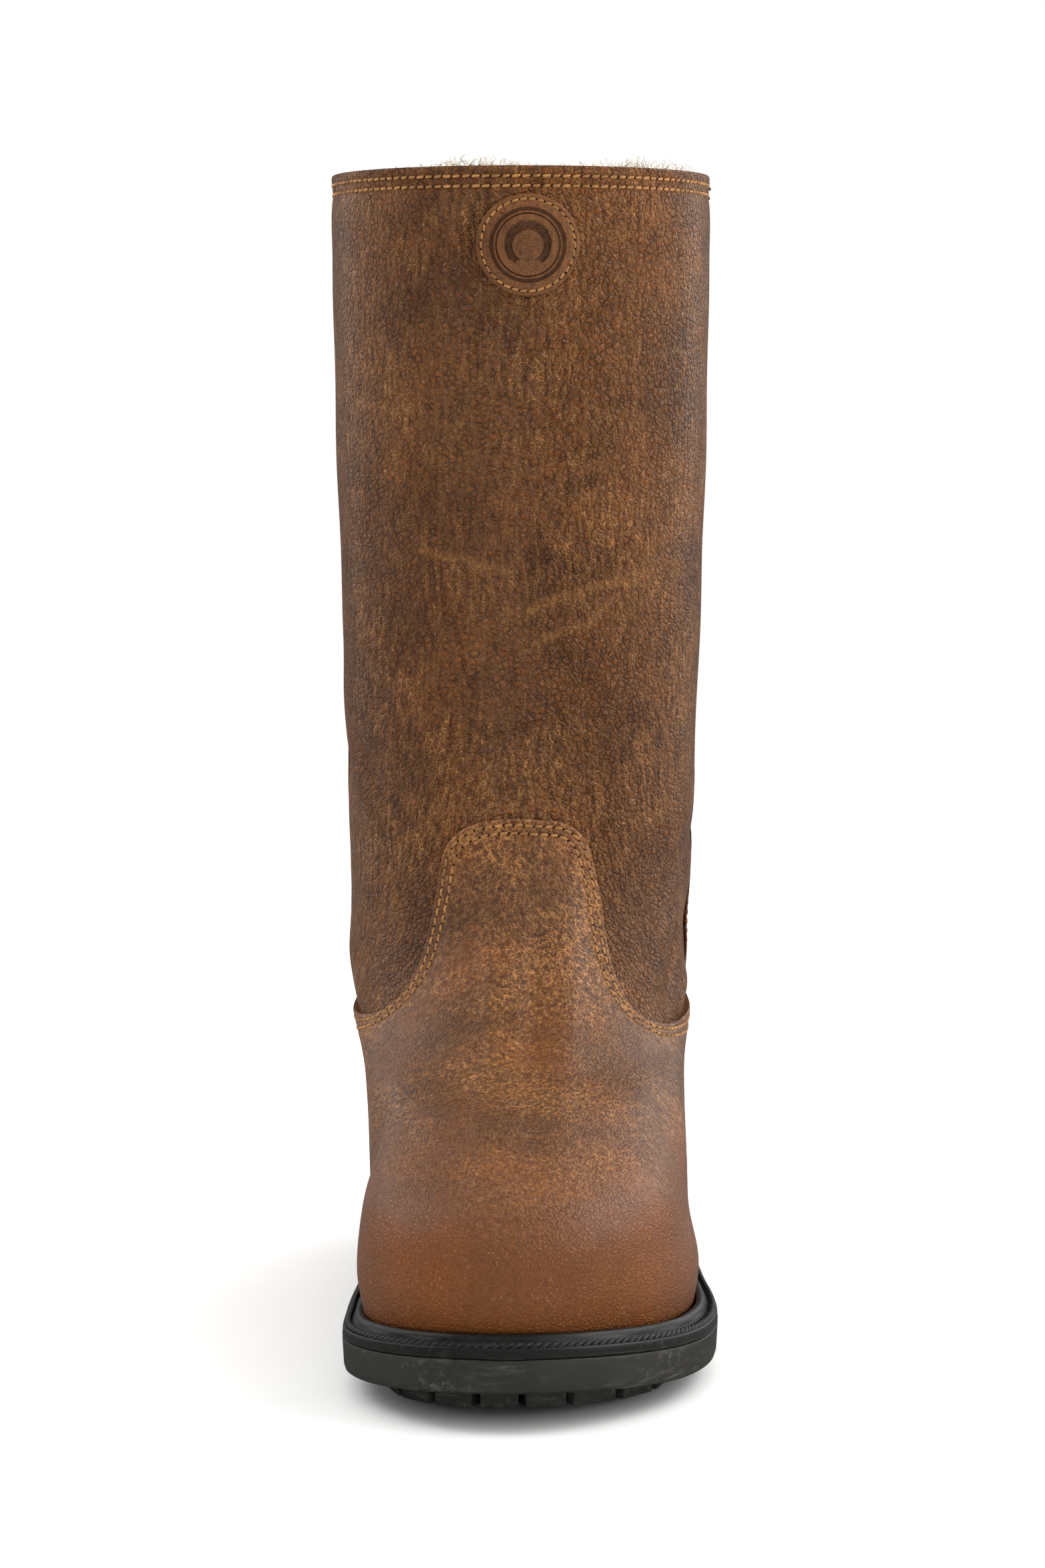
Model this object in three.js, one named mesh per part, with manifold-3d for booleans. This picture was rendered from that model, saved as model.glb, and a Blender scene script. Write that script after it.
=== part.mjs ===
// A pull-on winter riding boot for the left foot: leather upper, shearling lining, rubber sole and heel.
// Millimetres, +Z up. The toe points along -Y and +X is the outer side of the foot.
// The origin is the centre of the heel's ground face.
//
// Everything above the sole is laid over one form, the last. A place on the last is an angle round the leg
// (0 at the toe, positive on the outer side, 180 at the heel), a level (0 at the sole, TOP at the topline)
// and an offset outwards from the last's surface.
import * as THREE from "three";
import { ParametricGeometry } from "three/addons/geometries/ParametricGeometry.js";
import { mergeVertices } from "three/addons/utils/BufferGeometryUtils.js";
import Module from "manifold-3d";

const wasm = await Module();
wasm.setup();

// ---------------------------------------------------------------- driving dimensions

const TOE_Y = -252;
const HEEL_Y = 38;
const HALF_BALL = 51.5;
const SOLE_THICKNESS = 20; // from the ground to the welt's top under the ball of the foot
const HEEL_PITCH = 17; // how much higher the heel sits than the ball
const TOE_SPRING = 6;
const LUG_DEPTH = 4;
const PLATE_GAP = 4.5; // room over the outsole for the welt and the filler
const HEEL_BREAST_Y = -36;
const HEEL_TREAD = 7;

const LEATHER = 2;
const LAP_GAP = 0.9; // clearance between two lapped leathers
const CLEAR = 0.3;
const LINING_OUT = -3.5;
const FOOT_PILE = 5;
const SHAFT_PILE = 9;
const THREAD = 0.4; // radius

// The last's levels, from the sole to the topline: the front and back points of each in profile, its half
// width, where along it the widest place is (0 at the back), how much of the footprint's outline it keeps,
// and how square the front and the back are.
const LEVELS = [
  { front: [-247, 26], back: [35, 37.6], half: 48, widest: 0.56, foot: 1, square: [2.3, 2.4] },
  { front: [-252, 39], back: [38.5, 50], half: 51.5, widest: 0.56, foot: 1, square: [2.3, 2.4] },
  { front: [-250, 53], back: [40, 64], half: 50.8, widest: 0.54, foot: 0.9, square: [2.2, 2.4] },
  { front: [-237, 65], back: [40, 76], half: 49.8, widest: 0.5, foot: 0.65, square: [2.05, 2.4] },
  { front: [-206, 76], back: [38.5, 87], half: 49.5, widest: 0.46, foot: 0.35, square: [2, 2.4] },
  { front: [-169, 85], back: [36, 98], half: 51.5, widest: 0.43, foot: 0.12, square: [2, 2.4] },
  { front: [-137, 101], back: [33.5, 112], half: 53, widest: 0.43, foot: 0, square: [2, 2.3] },
  { front: [-114, 126], back: [31.5, 131], half: 54.3, widest: 0.45, foot: 0, square: [2, 2.2] },
  { front: [-103, 160], back: [30.5, 158], half: 55.6, widest: 0.48, foot: 0, square: [2.05, 2.1] },
  { front: [-97, 208], back: [32, 204], half: 57.2, widest: 0.5, foot: 0, square: [2.1, 2.1] },
  { front: [-96, 275], back: [34.5, 271], half: 59.2, widest: 0.5, foot: 0, square: [2.1, 2.1] },
  { front: [-98, 354], back: [37, 348], half: 60.3, widest: 0.5, foot: 0, square: [2.1, 2.1] },
];
const TOP = LEVELS.length - 1;

// The footprint, seen from above, anticlockwise from the toe's tip at equal steps of angle.
const FOOTPRINT = [
  [-5, -252], [20, -244], [41, -221], [51.5, -184], [53.5, -140], [46, -80], [38, -22], [31, 20],
  [0, 38], [-31, 20], [-35, -24], [-39, -78], [-45, -132], [-47.5, -180], [-45.5, -216], [-30, -242],
];

// The upper edge of the vamp, as [angle, height], from the inner seam over the throat to the outer seam.
const VAMP_EDGE = [
  [-118, 96], [-100, 92.5], [-80, 91.5], [-62, 92.5], [-50, 95.5], [-40, 102], [-33, 112], [-28, 128],
  [-24.5, 144], [-17, 151.5], [-7, 154], [3, 154], [14, 152.5], [21, 146], [25, 132], [28.5, 114],
  [34, 102], [42, 95], [52, 92], [64, 91], [82, 91.5], [100, 92.5], [118, 96],
];
const SEAM_ANGLE = 93; // front edge of the back shaft panel, which laps over the front panel
const COUNTER_ANGLE = 111; // front edge of the counter cover, which laps over the vamp
const COUNTER_PEAK = 128; // height of the counter cover at the back
const FEATHER = 0.21; // level of the leathers' lower edge, where they meet the welt
const PATCH = { x: 2, z: 330, radius: 15.6, thickness: 1.4, gap: 0.4 };
const FULL_TURN = 360;

// ---------------------------------------------------------------- small maths

const mix = (a, b, share) => a + (b - a) * share;
const clamp = (x) => Math.min(1, Math.max(0, x));
const smooth = (x) => clamp(x) ** 2 * (3 - 2 * clamp(x));
const radians = THREE.MathUtils.degToRad;
const vector = (...xyz) => new THREE.Vector3(...xyz);
const steps = (count, make) => Array.from({ length: count + 1 }, (_, i) => make(i / count, i));

// A smooth value through evenly spaced knots. at runs from 0 to the last knot, or round and round if closed.
function spline(knots, at, closed = false) {
  const last = knots.length - 1;
  const i = closed ? Math.floor(at) : Math.min(Math.floor(at), last - 1);
  const wrap = (k) => (k + 10 * knots.length) % knots.length;
  const pick = (k) => knots[closed ? wrap(k) : Math.min(last, Math.max(0, k))];
  const [a, b, c, d] = [pick(i - 1), pick(i), pick(i + 1), pick(i + 2)];
  const before = !closed && i === 0 ? 2 * b - c : a;
  const after = !closed && i + 2 > last ? 2 * c - b : d;
  const f = at - i;
  const bend = 2 * before - 5 * b + 4 * c - after;
  return 0.5 * (2 * b + (c - before) * f + bend * f ** 2 + (3 * b - before - 3 * c + after) * f ** 3);
}
const splinePoint = (points, at, closed) =>
  points[0].map((_, k) => spline(points.map((p) => p[k]), at, closed));

// ---------------------------------------------------------------- the last

// How far the foot is lifted over the ball's level: up to the heel behind it, and up to the toe in front.
function lift(y) {
  const heel = HEEL_PITCH * smooth((y + 150) / 110);
  const toe = TOE_SPRING * clamp((-185 - y) / 70) ** 1.6;
  return heel + toe;
}
const soleTop = (y) => SOLE_THICKNESS + lift(y);
const soleUnder = (y) => LUG_DEPTH + lift(y) + 3 * smooth((y + 150) / 110);

function lastPoint(angle, level) {
  const at = Math.min(level, TOP - 1e-6);
  const field = (read) => spline(LEVELS.map(read), at);
  const [frontY, frontZ, backY, backZ] = [
    field((l) => l.front[0]), field((l) => l.front[1]), field((l) => l.back[0]), field((l) => l.back[1]),
  ];
  const foot = field((l) => l.foot);
  const widest = field((l) => l.widest);
  const print = splinePoint(FOOTPRINT, (((angle % FULL_TURN) + FULL_TURN) % FULL_TURN) / 22.5, true);
  const [c, s] = [Math.cos(radians(angle)), Math.sin(radians(angle))];
  const power = field((l) => l.square[c > 0 ? 0 : 1]);
  const reach = (Math.abs(c) ** power + Math.abs(s) ** power) ** (-1 / power);
  const ovalShare = widest + (c > 0 ? 1 - widest : widest) * reach * c;
  const share = mix(ovalShare, (print[1] - HEEL_Y) / (TOE_Y - HEEL_Y), foot);
  const across = mix(reach * s, print[0] / HALF_BALL, foot);
  const y = mix(backY, frontY, share);
  const followsSole = clamp(1 - level / 4.5);
  const dip = soleTop(y) - mix(soleTop(backY), soleTop(frontY), share);
  return vector(across * field((l) => l.half), y, mix(backZ, frontZ, share) + followsSole * dip);
}

function onLast(angle, level, offset = 0) {
  const here = lastPoint(angle, level);
  if (!offset) return here;
  const above = lastPoint(angle, Math.min(level + 0.05, TOP - 1e-6));
  const up = above.sub(lastPoint(angle, Math.max(level - 0.05, 0)));
  const along = lastPoint(angle + 1, level).sub(lastPoint(angle - 1, level));
  return here.addScaledVector(along.cross(up).normalize(), offset);
}

// The level at which the last reaches a height, at an angle.
function levelAt(angle, height) {
  let [low, high] = [0, TOP];
  for (let i = 0; i < 30; i++) {
    const middle = (low + high) / 2;
    if (lastPoint(angle, middle).z < height) low = middle;
    else high = middle;
  }
  return low;
}

// A curve over the last through [angle, height] points, as a function of a share from 0 to 1.
const edge = (points) => (share) => {
  const [angle, height] = splinePoint(points, share * (points.length - 1));
  return [angle, levelAt(angle, height)];
};

// A curve moved sideways over the last by a distance, to its right as it runs.
const inset = (curve, distance) => (share) => {
  const [angle, level] = curve(share);
  const ahead = onLast(...curve(Math.min(1, share + 1e-3)));
  const run = ahead.sub(onLast(...curve(Math.max(0, share - 1e-3)))).normalize();
  const here = lastPoint(angle, level);
  const byAngle = lastPoint(angle + 1, level).sub(here);
  const byLevel = lastPoint(angle, level + 0.1).sub(here);
  const side = run.cross(byAngle.clone().cross(byLevel)).normalize();
  const [aa, ab, bb] = [byAngle.dot(byAngle), byAngle.dot(byLevel), byLevel.dot(byLevel)];
  const [a, b] = [side.dot(byAngle), side.dot(byLevel)];
  const det = aa * bb - ab * ab;
  return [angle + (distance * (a * bb - b * ab)) / det, level + (0.1 * distance * (b * aa - a * ab)) / det];
};

// ---------------------------------------------------------------- solids

// One closed solid from rings of points. The rings either run on from last to first, as on a welt, or the
// first and the last ring are each zipped shut, point j onto its opposite.
function skin(rings, runsRound = false) {
  const zip = (ring) => ring.map((p, j) => p.clone().lerp(ring[ring.length - 1 - j], 0.5));
  const all = runsRound ? [...rings, rings[0]] : [zip(rings[0]), ...rings, zip(rings.at(-1))];
  const sides = all[0].length;
  const place = (u, v, target) => {
    const ring = all[Math.round(v * (all.length - 1))];
    return target.copy(ring[Math.round(u * sides) % sides]);
  };
  return facingOut(bare(new ParametricGeometry(place, sides, all.length - 1)));
}

function bare(geometry) {
  geometry.deleteAttribute("normal");
  geometry.deleteAttribute("uv");
  return mergeVertices(geometry, 1e-3);
}

function facingOut(geometry) {
  const [p, index] = [geometry.attributes.position, geometry.index.array];
  const corner = (i) => vector().fromBufferAttribute(p, index[i]);
  const kept = [];
  let volume = 0;
  for (let i = 0; i < index.length; i += 3) {
    const [a, b, c] = [index[i], index[i + 1], index[i + 2]];
    if (a === b || b === c || c === a) continue;
    kept.push(a, b, c);
    volume += corner(i).dot(corner(i + 1).cross(corner(i + 2)));
  }
  geometry.setIndex(volume < 0 ? kept.reverse() : kept);
  return geometry;
}

const offsetAt = (face, angle) => (typeof face === "number" ? face : face(angle));

// A piece of leather or lining between two curves over the last. inner and outer give its two faces' offsets
// at an angle, as numbers or functions. crowd over 1 brings the rows closer together near the lower curve.
function panel(lower, upper, inner, outer, columns, rows, crowd = 1) {
  return skin(
    steps(columns, (along) => {
      const [from, to] = [lower(along), upper(along)];
      const wall = (face, up) => {
        const share = up ** crowd;
        const angle = mix(from[0], to[0], share);
        return onLast(angle, mix(from[1], to[1], share), offsetAt(face, angle));
      };
      return [...steps(rows, (up) => wall(outer, up)), ...steps(rows, (up) => wall(inner, 1 - up))];
    }),
  );
}

// A lining that runs all the way round, between two levels.
function sleeve(lowLevel, highLevel, inner, outer, columns, rows) {
  return skin(
    steps(columns - 1, (_, i) => {
      const angle = (i * FULL_TURN) / columns;
      const wall = (face, up) => onLast(angle, mix(lowLevel, highLevel, up), face);
      return [...steps(rows, (up) => wall(outer, up)), ...steps(rows, (up) => wall(inner, 1 - up))];
    }),
    true,
  );
}

// A row of stitching as a square cord on a curve over the last. surface is the leather's offset at an angle.
function stitching(curve, surface, count, closed = false) {
  const share = (at) => (closed ? (at + 1) % 1 : clamp(at));
  const place = (at, rise) => {
    const [angle, height] = curve(share(at));
    return onLast(angle, height, offsetAt(surface, angle) + rise);
  };
  const rings = steps(closed ? count - 1 : count, (_, i) => {
    const at = i / count;
    const here = place(at, CLEAR + 0.1 + THREAD);
    const run = place(at + 0.005, 0).sub(place(at - 0.005, 0)).normalize();
    const out = here.clone().sub(place(at, 0)).normalize();
    const side = run.cross(out).multiplyScalar(THREAD);
    out.multiplyScalar(THREAD);
    return [here.clone().add(out), here.clone().add(side), here.clone().sub(out), here.clone().sub(side)];
  });
  return skin(rings, closed);
}

// A point of the footprint, grown outwards in plan, at a height over a floor that follows the foot.
function footprintPoint(angle, grow, floor, height) {
  const at = (turn) => {
    const [x, y] = splinePoint(FOOTPRINT, (((angle + turn) / 22.5) + 32) % 16, true);
    return new THREE.Vector2(x, y);
  };
  const run = at(1).sub(at(-1)).normalize();
  const here = at(0).add(new THREE.Vector2(-run.y, run.x).multiplyScalar(-grow));
  return vector(here.x, here.y, floor(here.y) + height);
}

const flat = () => 0;
const SIDES = 48; // every layer of the sole has its corners at the same angles, so they nest
const sideAngle = (i) => ((i + 0.5) * FULL_TURN) / SIDES;

// A flat layer of the sole's shape: rings of [grow, floor, height] from its lower face to its upper one.
function layer(rings) {
  return skin(
    rings.map(([grow, floor, height]) =>
      steps(SIDES - 1, (_, i) => footprintPoint(sideAngle(i), grow, floor, height)),
    ),
  );
}

// A band that follows the footprint's edge, with a closed section of [grow, height] points.
function band(section, floor) {
  return skin(
    steps(SIDES - 1, (_, i) =>
      section.map(([grow, height]) => footprintPoint(sideAngle(i), grow, floor, height)),
    ),
    true,
  );
}

// ---------------------------------------------------------------- joining and cutting

function solid(geometry) {
  const whole = geometry.index ? geometry : bare(geometry.clone());
  return new wasm.Manifold(
    new wasm.Mesh({
      numProp: 3,
      vertProperties: new Float32Array(whole.attributes.position.array),
      triVerts: new Uint32Array(whole.index.array),
    }),
  );
}

function geometryOf(manifold) {
  const mesh = manifold.getMesh();
  return new THREE.BufferGeometry()
    .setAttribute("position", new THREE.BufferAttribute(new Float32Array(mesh.vertProperties), 3))
    .setIndex(new THREE.BufferAttribute(new Uint32Array(mesh.triVerts), 1));
}

// A box from its two corners, turned about the vertical through its centre.
function block(low, high, turn = 0) {
  const size = high.map((h, k) => h - low[k]);
  const shape = bare(new THREE.BoxGeometry(...size));
  shape.rotateZ(radians(turn));
  return shape.translate(...high.map((h, k) => (h + low[k]) / 2));
}

// Lifts a tread piece so that it follows the sole's underside.
function lifted(geometry) {
  const p = geometry.attributes.position;
  for (let i = 0; i < p.count; i++) p.setZ(i, p.getZ(i) + lift(p.getY(i)));
  return geometry;
}

// ---------------------------------------------------------------- the pieces

const materials = {
  leather: new THREE.MeshStandardMaterial({ color: "#6b4426", roughness: 0.5, metalness: 0 }),
  shearling: new THREE.MeshStandardMaterial({ color: "#ece5d8", roughness: 1, metalness: 0 }),
  rubber: new THREE.MeshStandardMaterial({ color: "#232322", roughness: 0.6, metalness: 0 }),
  thread: new THREE.MeshStandardMaterial({ color: "#b07c3c", roughness: 0.7, metalness: 0 }),
  welt_thread: new THREE.MeshStandardMaterial({ color: "#161616", roughness: 0.7, metalness: 0 }),
  board: new THREE.MeshStandardMaterial({ color: "#b49a72", roughness: 0.9, metalness: 0 }),
  cork: new THREE.MeshStandardMaterial({ color: "#a87c4f", roughness: 0.95, metalness: 0 }),
  stiffener: new THREE.MeshStandardMaterial({ color: "#cfc6b4", roughness: 0.8, metalness: 0 }),
  felt: new THREE.MeshStandardMaterial({ color: "#8c8880", roughness: 1, metalness: 0 }),
  webbing: new THREE.MeshStandardMaterial({ color: "#5a3a22", roughness: 0.9, metalness: 0 }),
  steel: new THREE.MeshStandardMaterial({ color: "#8d9094", roughness: 0.35, metalness: 1 }),
};

const boot = new THREE.Group();
function add(name, material, geometry) {
  const mesh = new THREE.Mesh(geometry, materials[material]);
  mesh.name = name;
  boot.add(mesh);
}

// The front part of the tread: a ring of lugs just inside the edge, and bars across the middle.
function tread(y0, y1, depth) {
  const ring = solid(band([[-24, 0], [-9, 0], [-8, depth], [-25, depth]], lift));
  const region = solid(block([-80, y0, -20], [80, y1, 60]));
  const slits = [];
  for (let angle = 6; angle < FULL_TURN; angle += 15) {
    const p = footprintPoint(angle, -16, flat, 0);
    const inward = footprintPoint(angle, -17, flat, 0).sub(p);
    const turn = THREE.MathUtils.radToDeg(Math.atan2(inward.y, inward.x));
    slits.push(solid(block([p.x - 12, p.y - 1, -5], [p.x + 12, p.y + 1, depth + 25], turn)));
  }
  return slits.reduce((lugs, slit) => lugs.subtract(slit), ring.intersect(region));
}

function outsole() {
  const wall = [
    [1.5, soleUnder, 0], [3.4, soleUnder, 1.6], [4.6, soleUnder, 5],
    [4.8, soleTop, -6.2], [4.3, soleTop, -PLATE_GAP],
  ];
  let whole = solid(layer(wall)).add(tread(TOE_Y, -116, LUG_DEPTH + 3));
  for (let y = -222; y < -120; y += 14) {
    const half = Math.min(20, 9 + (y - TOE_Y) * 0.4);
    for (const side of [-1, 1]) {
      const bar = block([-half / 2, y, 0], [half / 2, y + 7, LUG_DEPTH + 3], side * -18);
      whole = whole.add(solid(lifted(bar.translate(1 + (side * half) / 2, 0, 0))));
    }
  }
  return geometryOf(whole);
}

function heelBlock() {
  const core = solid(layer([[-0.5, flat, HEEL_TREAD + CLEAR], [1.5, soleUnder, -CLEAR]]));
  return geometryOf(core.intersect(solid(block([-60, HEEL_BREAST_Y, 0], [60, 60, 40]))));
}

function heelTread() {
  const groove = 3;
  const plate = solid(layer([[-2, flat, groove], [-0.5, flat, HEEL_TREAD]]));
  const pad = solid(layer([[-18, flat, 0], [-18, flat, groove + 1]]));
  const heel = solid(block([-60, HEEL_BREAST_Y, -1], [60, 60, HEEL_TREAD + 1]));
  const ring = solid(band([[-13, 0], [-3, 0], [-2.5, groove + 1], [-13.5, groove + 1]], flat));
  let lugs = ring.intersect(heel);
  for (const angle of [146, 160, 172, 188, 200, 214]) {
    const p = footprintPoint(angle, -8, flat, 0);
    const inward = footprintPoint(angle, -9, flat, 0).sub(p);
    const turn = THREE.MathUtils.radToDeg(Math.atan2(inward.y, inward.x));
    lugs = lugs.subtract(solid(block([p.x - 9, p.y - 1, -1], [p.x + 9, p.y + 1, groove], turn)));
  }
  return geometryOf(plate.intersect(heel).add(lugs).add(pad.intersect(heel)));
}

const WELT_SECTION = [
  [-8, -PLATE_GAP + CLEAR], [4.1, -PLATE_GAP + CLEAR], [4.8, -2.6], [4.6, -1.1], [4, -0.6], [3.5, -1.4],
  [2.3, -1.4], [2.2, 0.2], [2.2, 2.4], [1.9, 3.1], [1.5, 2.9], [0.9, 0], [-8, 0],
];

function weltThread() {
  const across = (k) => [2.9 + 0.4 * Math.cos(radians(90 * k)), -0.5 + 0.4 * Math.sin(radians(90 * k))];
  return band(steps(3, (_, k) => across(k)), soleTop);
}

function shank() {
  return skin(
    steps(10, (share) => {
      const y = mix(-30, -132, share);
      const z = soleTop(y) - 1.9;
      return [vector(-8, y, z), vector(8, y, z), vector(8, y, z + 1.2), vector(-8, y, z + 1.2)];
    }),
  );
}

// How far an angle is round from the toe, on either side.
const round = (angle) => Math.abs(((((angle + 180) % FULL_TURN) + FULL_TURN) % FULL_TURN) - 180);

// The rise of a panel that laps over its neighbour from the angle start, and comes down again behind the lap.
const lapped = (start) => (angle) => (LAP_GAP + LEATHER) * (1 - smooth((round(angle) - start - 8) / 9));
const backRise = lapped(SEAM_ANGLE);
const coverRise = lapped(COUNTER_ANGLE);

// The shaft's outer surface at the topline, with a ramp up to the back panel's edge.
const collarSurface = (angle) => backRise(angle) * smooth((round(angle) - SEAM_ANGLE + 6) / 4.5);

const between = (from, to, curve) => (share) => curve(mix(from, to, share));
const row = (from, to, height) => (share) => [mix(from, to, share), height];
const vampEdge = edge(VAMP_EDGE);

function vamp() {
  const reach = VAMP_EDGE.at(-1)[0];
  return panel(row(-reach, reach, FEATHER), vampEdge, LAP_GAP, LAP_GAP + LEATHER, 58, 12, 1.05);
}

// The front panel goes on under the vamp.
function shaftFront() {
  const narrowed = (angle) => angle * (1 - 0.38 * Math.exp(-((angle / 35) ** 2)));
  const hidden = VAMP_EDGE.map(([angle, z]) => [narrowed(angle), z - 9]);
  const lower = between(1 / 22, 21 / 22, edge(hidden));
  return panel(lower, (share) => [lower(share)[0], TOP], -LEATHER, 0, 46, 10);
}

function shaftBack() {
  const half = [[SEAM_ANGLE, 95.5], [108, 95.5], [119, 96], [130, 92], [145, 88], [162, 87]];
  const mirrored = half.map(([angle, z]) => [FULL_TURN - angle, z]).reverse();
  const lower = edge([...half, [180, 87], ...mirrored]);
  const upper = (share) => [lower(share)[0], TOP];
  return panel(lower, upper, (angle) => backRise(angle) - LEATHER, backRise, 26, 10);
}

const counterEdge = edge(
  steps(8, (share) => [
    mix(COUNTER_ANGLE, FULL_TURN - COUNTER_ANGLE, share),
    mix(91, COUNTER_PEAK, Math.sin(Math.PI * share) ** 2),
  ]),
);

function counterCover() {
  const lower = (share) => {
    const angle = mix(COUNTER_ANGLE, FULL_TURN - COUNTER_ANGLE, share);
    return [angle, FEATHER + 0.07 + 0.13 * coverRise(angle)];
  };
  const face = (offset) => (angle) => offset + coverRise(angle);
  return panel(lower, counterEdge, face(LAP_GAP), face(LAP_GAP + LEATHER), 32, 8);
}

function toePuff() {
  const upper = (share) => [mix(-58, 58, share), 0.8 + 2.1 * Math.sin(Math.PI * share)];
  return panel(row(-58, 58, 0.4), upper, -2.2, -1, 24, 5);
}

function heelStiffener() {
  const upper = (share) => [mix(122, 238, share), 1.2 + 1.4 * Math.sin(Math.PI * share)];
  return panel(row(122, 238, 0.4), upper, -2.2, -1, 20, 4);
}

// The patch lies on the front of the shaft. A place on it is given by distances across and up.
function onPatch(across, up, offset) {
  const z = PATCH.z + up;
  let [left, right] = [-60, 60];
  for (let i = 0; i < 24; i++) {
    const middle = (left + right) / 2;
    if (lastPoint(middle, levelAt(middle, z)).x < PATCH.x + across) left = middle;
    else right = middle;
  }
  return onLast(left, levelAt(left, z), offset);
}

const patchRing = (radius, offset, sides = 24) =>
  steps(sides - 1, (_, i) => {
    const turn = ((i + 0.5) * 2 * Math.PI) / sides;
    return onPatch(radius * Math.sin(turn), radius * Math.cos(turn), offset);
  });

function patch() {
  const [under, face] = [PATCH.gap, PATCH.gap + PATCH.thickness];
  const { radius } = PATCH;
  const edgeRings = [[4, under], [radius, under], [radius, face - 0.4], [radius - 0.5, face]];
  const faceRings = [[11.9, face], [11.5, face + 0.4], [10.7, face + 0.4], [10.3, face], [4, face]];
  return skin([...edgeRings, ...faceRings].map(([reach, offset]) => patchRing(reach, offset)));
}

function patchStitching() {
  const [low, high] = [0.3, 0.9].map((rise) => PATCH.gap + PATCH.thickness + rise);
  const section = [[13.7, low], [14.3, low], [14.3, high], [13.7, high]];
  const corners = section.map(([radius, offset]) => patchRing(radius, offset));
  return skin(corners[0].map((_, i) => corners.map((ring) => ring[i])), true);
}

const belowTop = (distance) => row(0, FULL_TURN, TOP - distance / 79);
const sideRow = (sign) => (share) => {
  const angle = sign * (SEAM_ANGLE + 2.6);
  return [angle, mix(levelAt(angle, 98), TOP - 0.11, share)];
};
const vampRow = (distance) => between(0.035, 0.965, inset(vampEdge, distance));
const VAMP_THREAD = LAP_GAP + LEATHER + 0.6; // stands clear of the vamp's flat facets round the throat
const coverSurface = (angle) => LAP_GAP + LEATHER + coverRise(angle);

add("outsole", "rubber", outsole());
add("heel_block", "rubber", heelBlock());
add("heel_tread", "rubber", heelTread());
add("welt", "rubber", band(WELT_SECTION, soleTop));
add("welt_stitching", "welt_thread", weltThread());
add("bottom_filler", "cork", layer([[-9, soleTop, -4.1], [-9, soleTop, -2.5]]));
add("shank", "steel", shank());
add("insole_board", "board", layer([[-4.2, soleTop, 0.4], [-4.2, soleTop, 2.5]]));
add("footbed_base", "felt", layer([[-13, soleTop, 2.9], [-12.4, soleTop, 6.9]]));
add("footbed_fleece", "shearling", layer([[-12.4, soleTop, 7.2], [-12, soleTop, 12]]));
add("vamp", "leather", vamp());
add("counter_cover", "leather", counterCover());
add("shaft_front", "leather", shaftFront());
add("shaft_back", "leather", shaftBack());
add("toe_puff", "stiffener", toePuff());
add("heel_stiffener", "stiffener", heelStiffener());
add("collar_facing", "leather", sleeve(TOP - 0.22, TOP - 0.01, -3.1, -2.4, 48, 2));
add("lining_foot", "shearling", sleeve(0.66, 5.5, LINING_OUT - FOOT_PILE, LINING_OUT, 40, 5));
add("lining_shaft", "shearling", sleeve(5.58, TOP, LINING_OUT - SHAFT_PILE, LINING_OUT, 40, 7));
add("collar_stitching_upper", "thread", stitching(belowTop(3.5), collarSurface, 60, true));
add("collar_stitching_lower", "thread", stitching(belowTop(6.5), collarSurface, 60, true));
add("vamp_stitching_edge", "thread", stitching(vampRow(2), VAMP_THREAD, 66));
add("vamp_stitching_inner", "thread", stitching(vampRow(4.6), VAMP_THREAD, 66));
add("side_stitching_medial", "thread", stitching(sideRow(-1), backRise, 24));
add("side_stitching_lateral", "thread", stitching(sideRow(1), backRise, 24));
add("counter_stitching", "thread", stitching(between(0.02, 0.98, inset(counterEdge, 2.2)), coverSurface, 36));
add("patch", "leather", patch());
add("patch_stitching", "thread", patchStitching());

export default boot;
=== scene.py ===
"""A left riding boot: leather upper, shearling lining and rubber sole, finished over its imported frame.

Lengths in the formulas are millimetres and become metres when a mesh is made. The toe points along -Y, +X is
the outer side of the foot and +Z is up.
"""

import math

import bmesh
import bpy
import numpy as np
from mathutils import Matrix, Vector


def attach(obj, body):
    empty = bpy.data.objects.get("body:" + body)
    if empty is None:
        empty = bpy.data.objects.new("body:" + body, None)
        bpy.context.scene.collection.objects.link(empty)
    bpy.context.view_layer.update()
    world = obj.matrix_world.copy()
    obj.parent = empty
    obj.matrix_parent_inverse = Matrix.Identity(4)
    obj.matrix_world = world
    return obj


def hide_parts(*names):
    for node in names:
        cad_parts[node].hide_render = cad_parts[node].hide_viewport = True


bl_info = {
    "name": "Riding boot",
    "version": (1, 0, 0),
    "blender": (4, 5, 0),
    "location": "View3D > Sidebar > Boot",
    "description": "Builds the finished surfaces of a shearling-lined riding boot",
    "category": "Object",
}

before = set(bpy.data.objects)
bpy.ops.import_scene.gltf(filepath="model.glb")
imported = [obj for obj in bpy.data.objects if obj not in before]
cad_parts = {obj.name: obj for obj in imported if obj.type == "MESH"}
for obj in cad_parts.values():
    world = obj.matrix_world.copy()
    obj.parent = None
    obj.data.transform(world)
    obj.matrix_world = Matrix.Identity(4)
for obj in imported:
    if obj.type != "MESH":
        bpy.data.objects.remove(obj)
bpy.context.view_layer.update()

MM = 0.001
TOE_Y, HEEL_Y = -252.0, 38.0
HALF_BALL = 51.5
TURN = 360.0

# ------------------------------------------------------------------ the last

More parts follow.
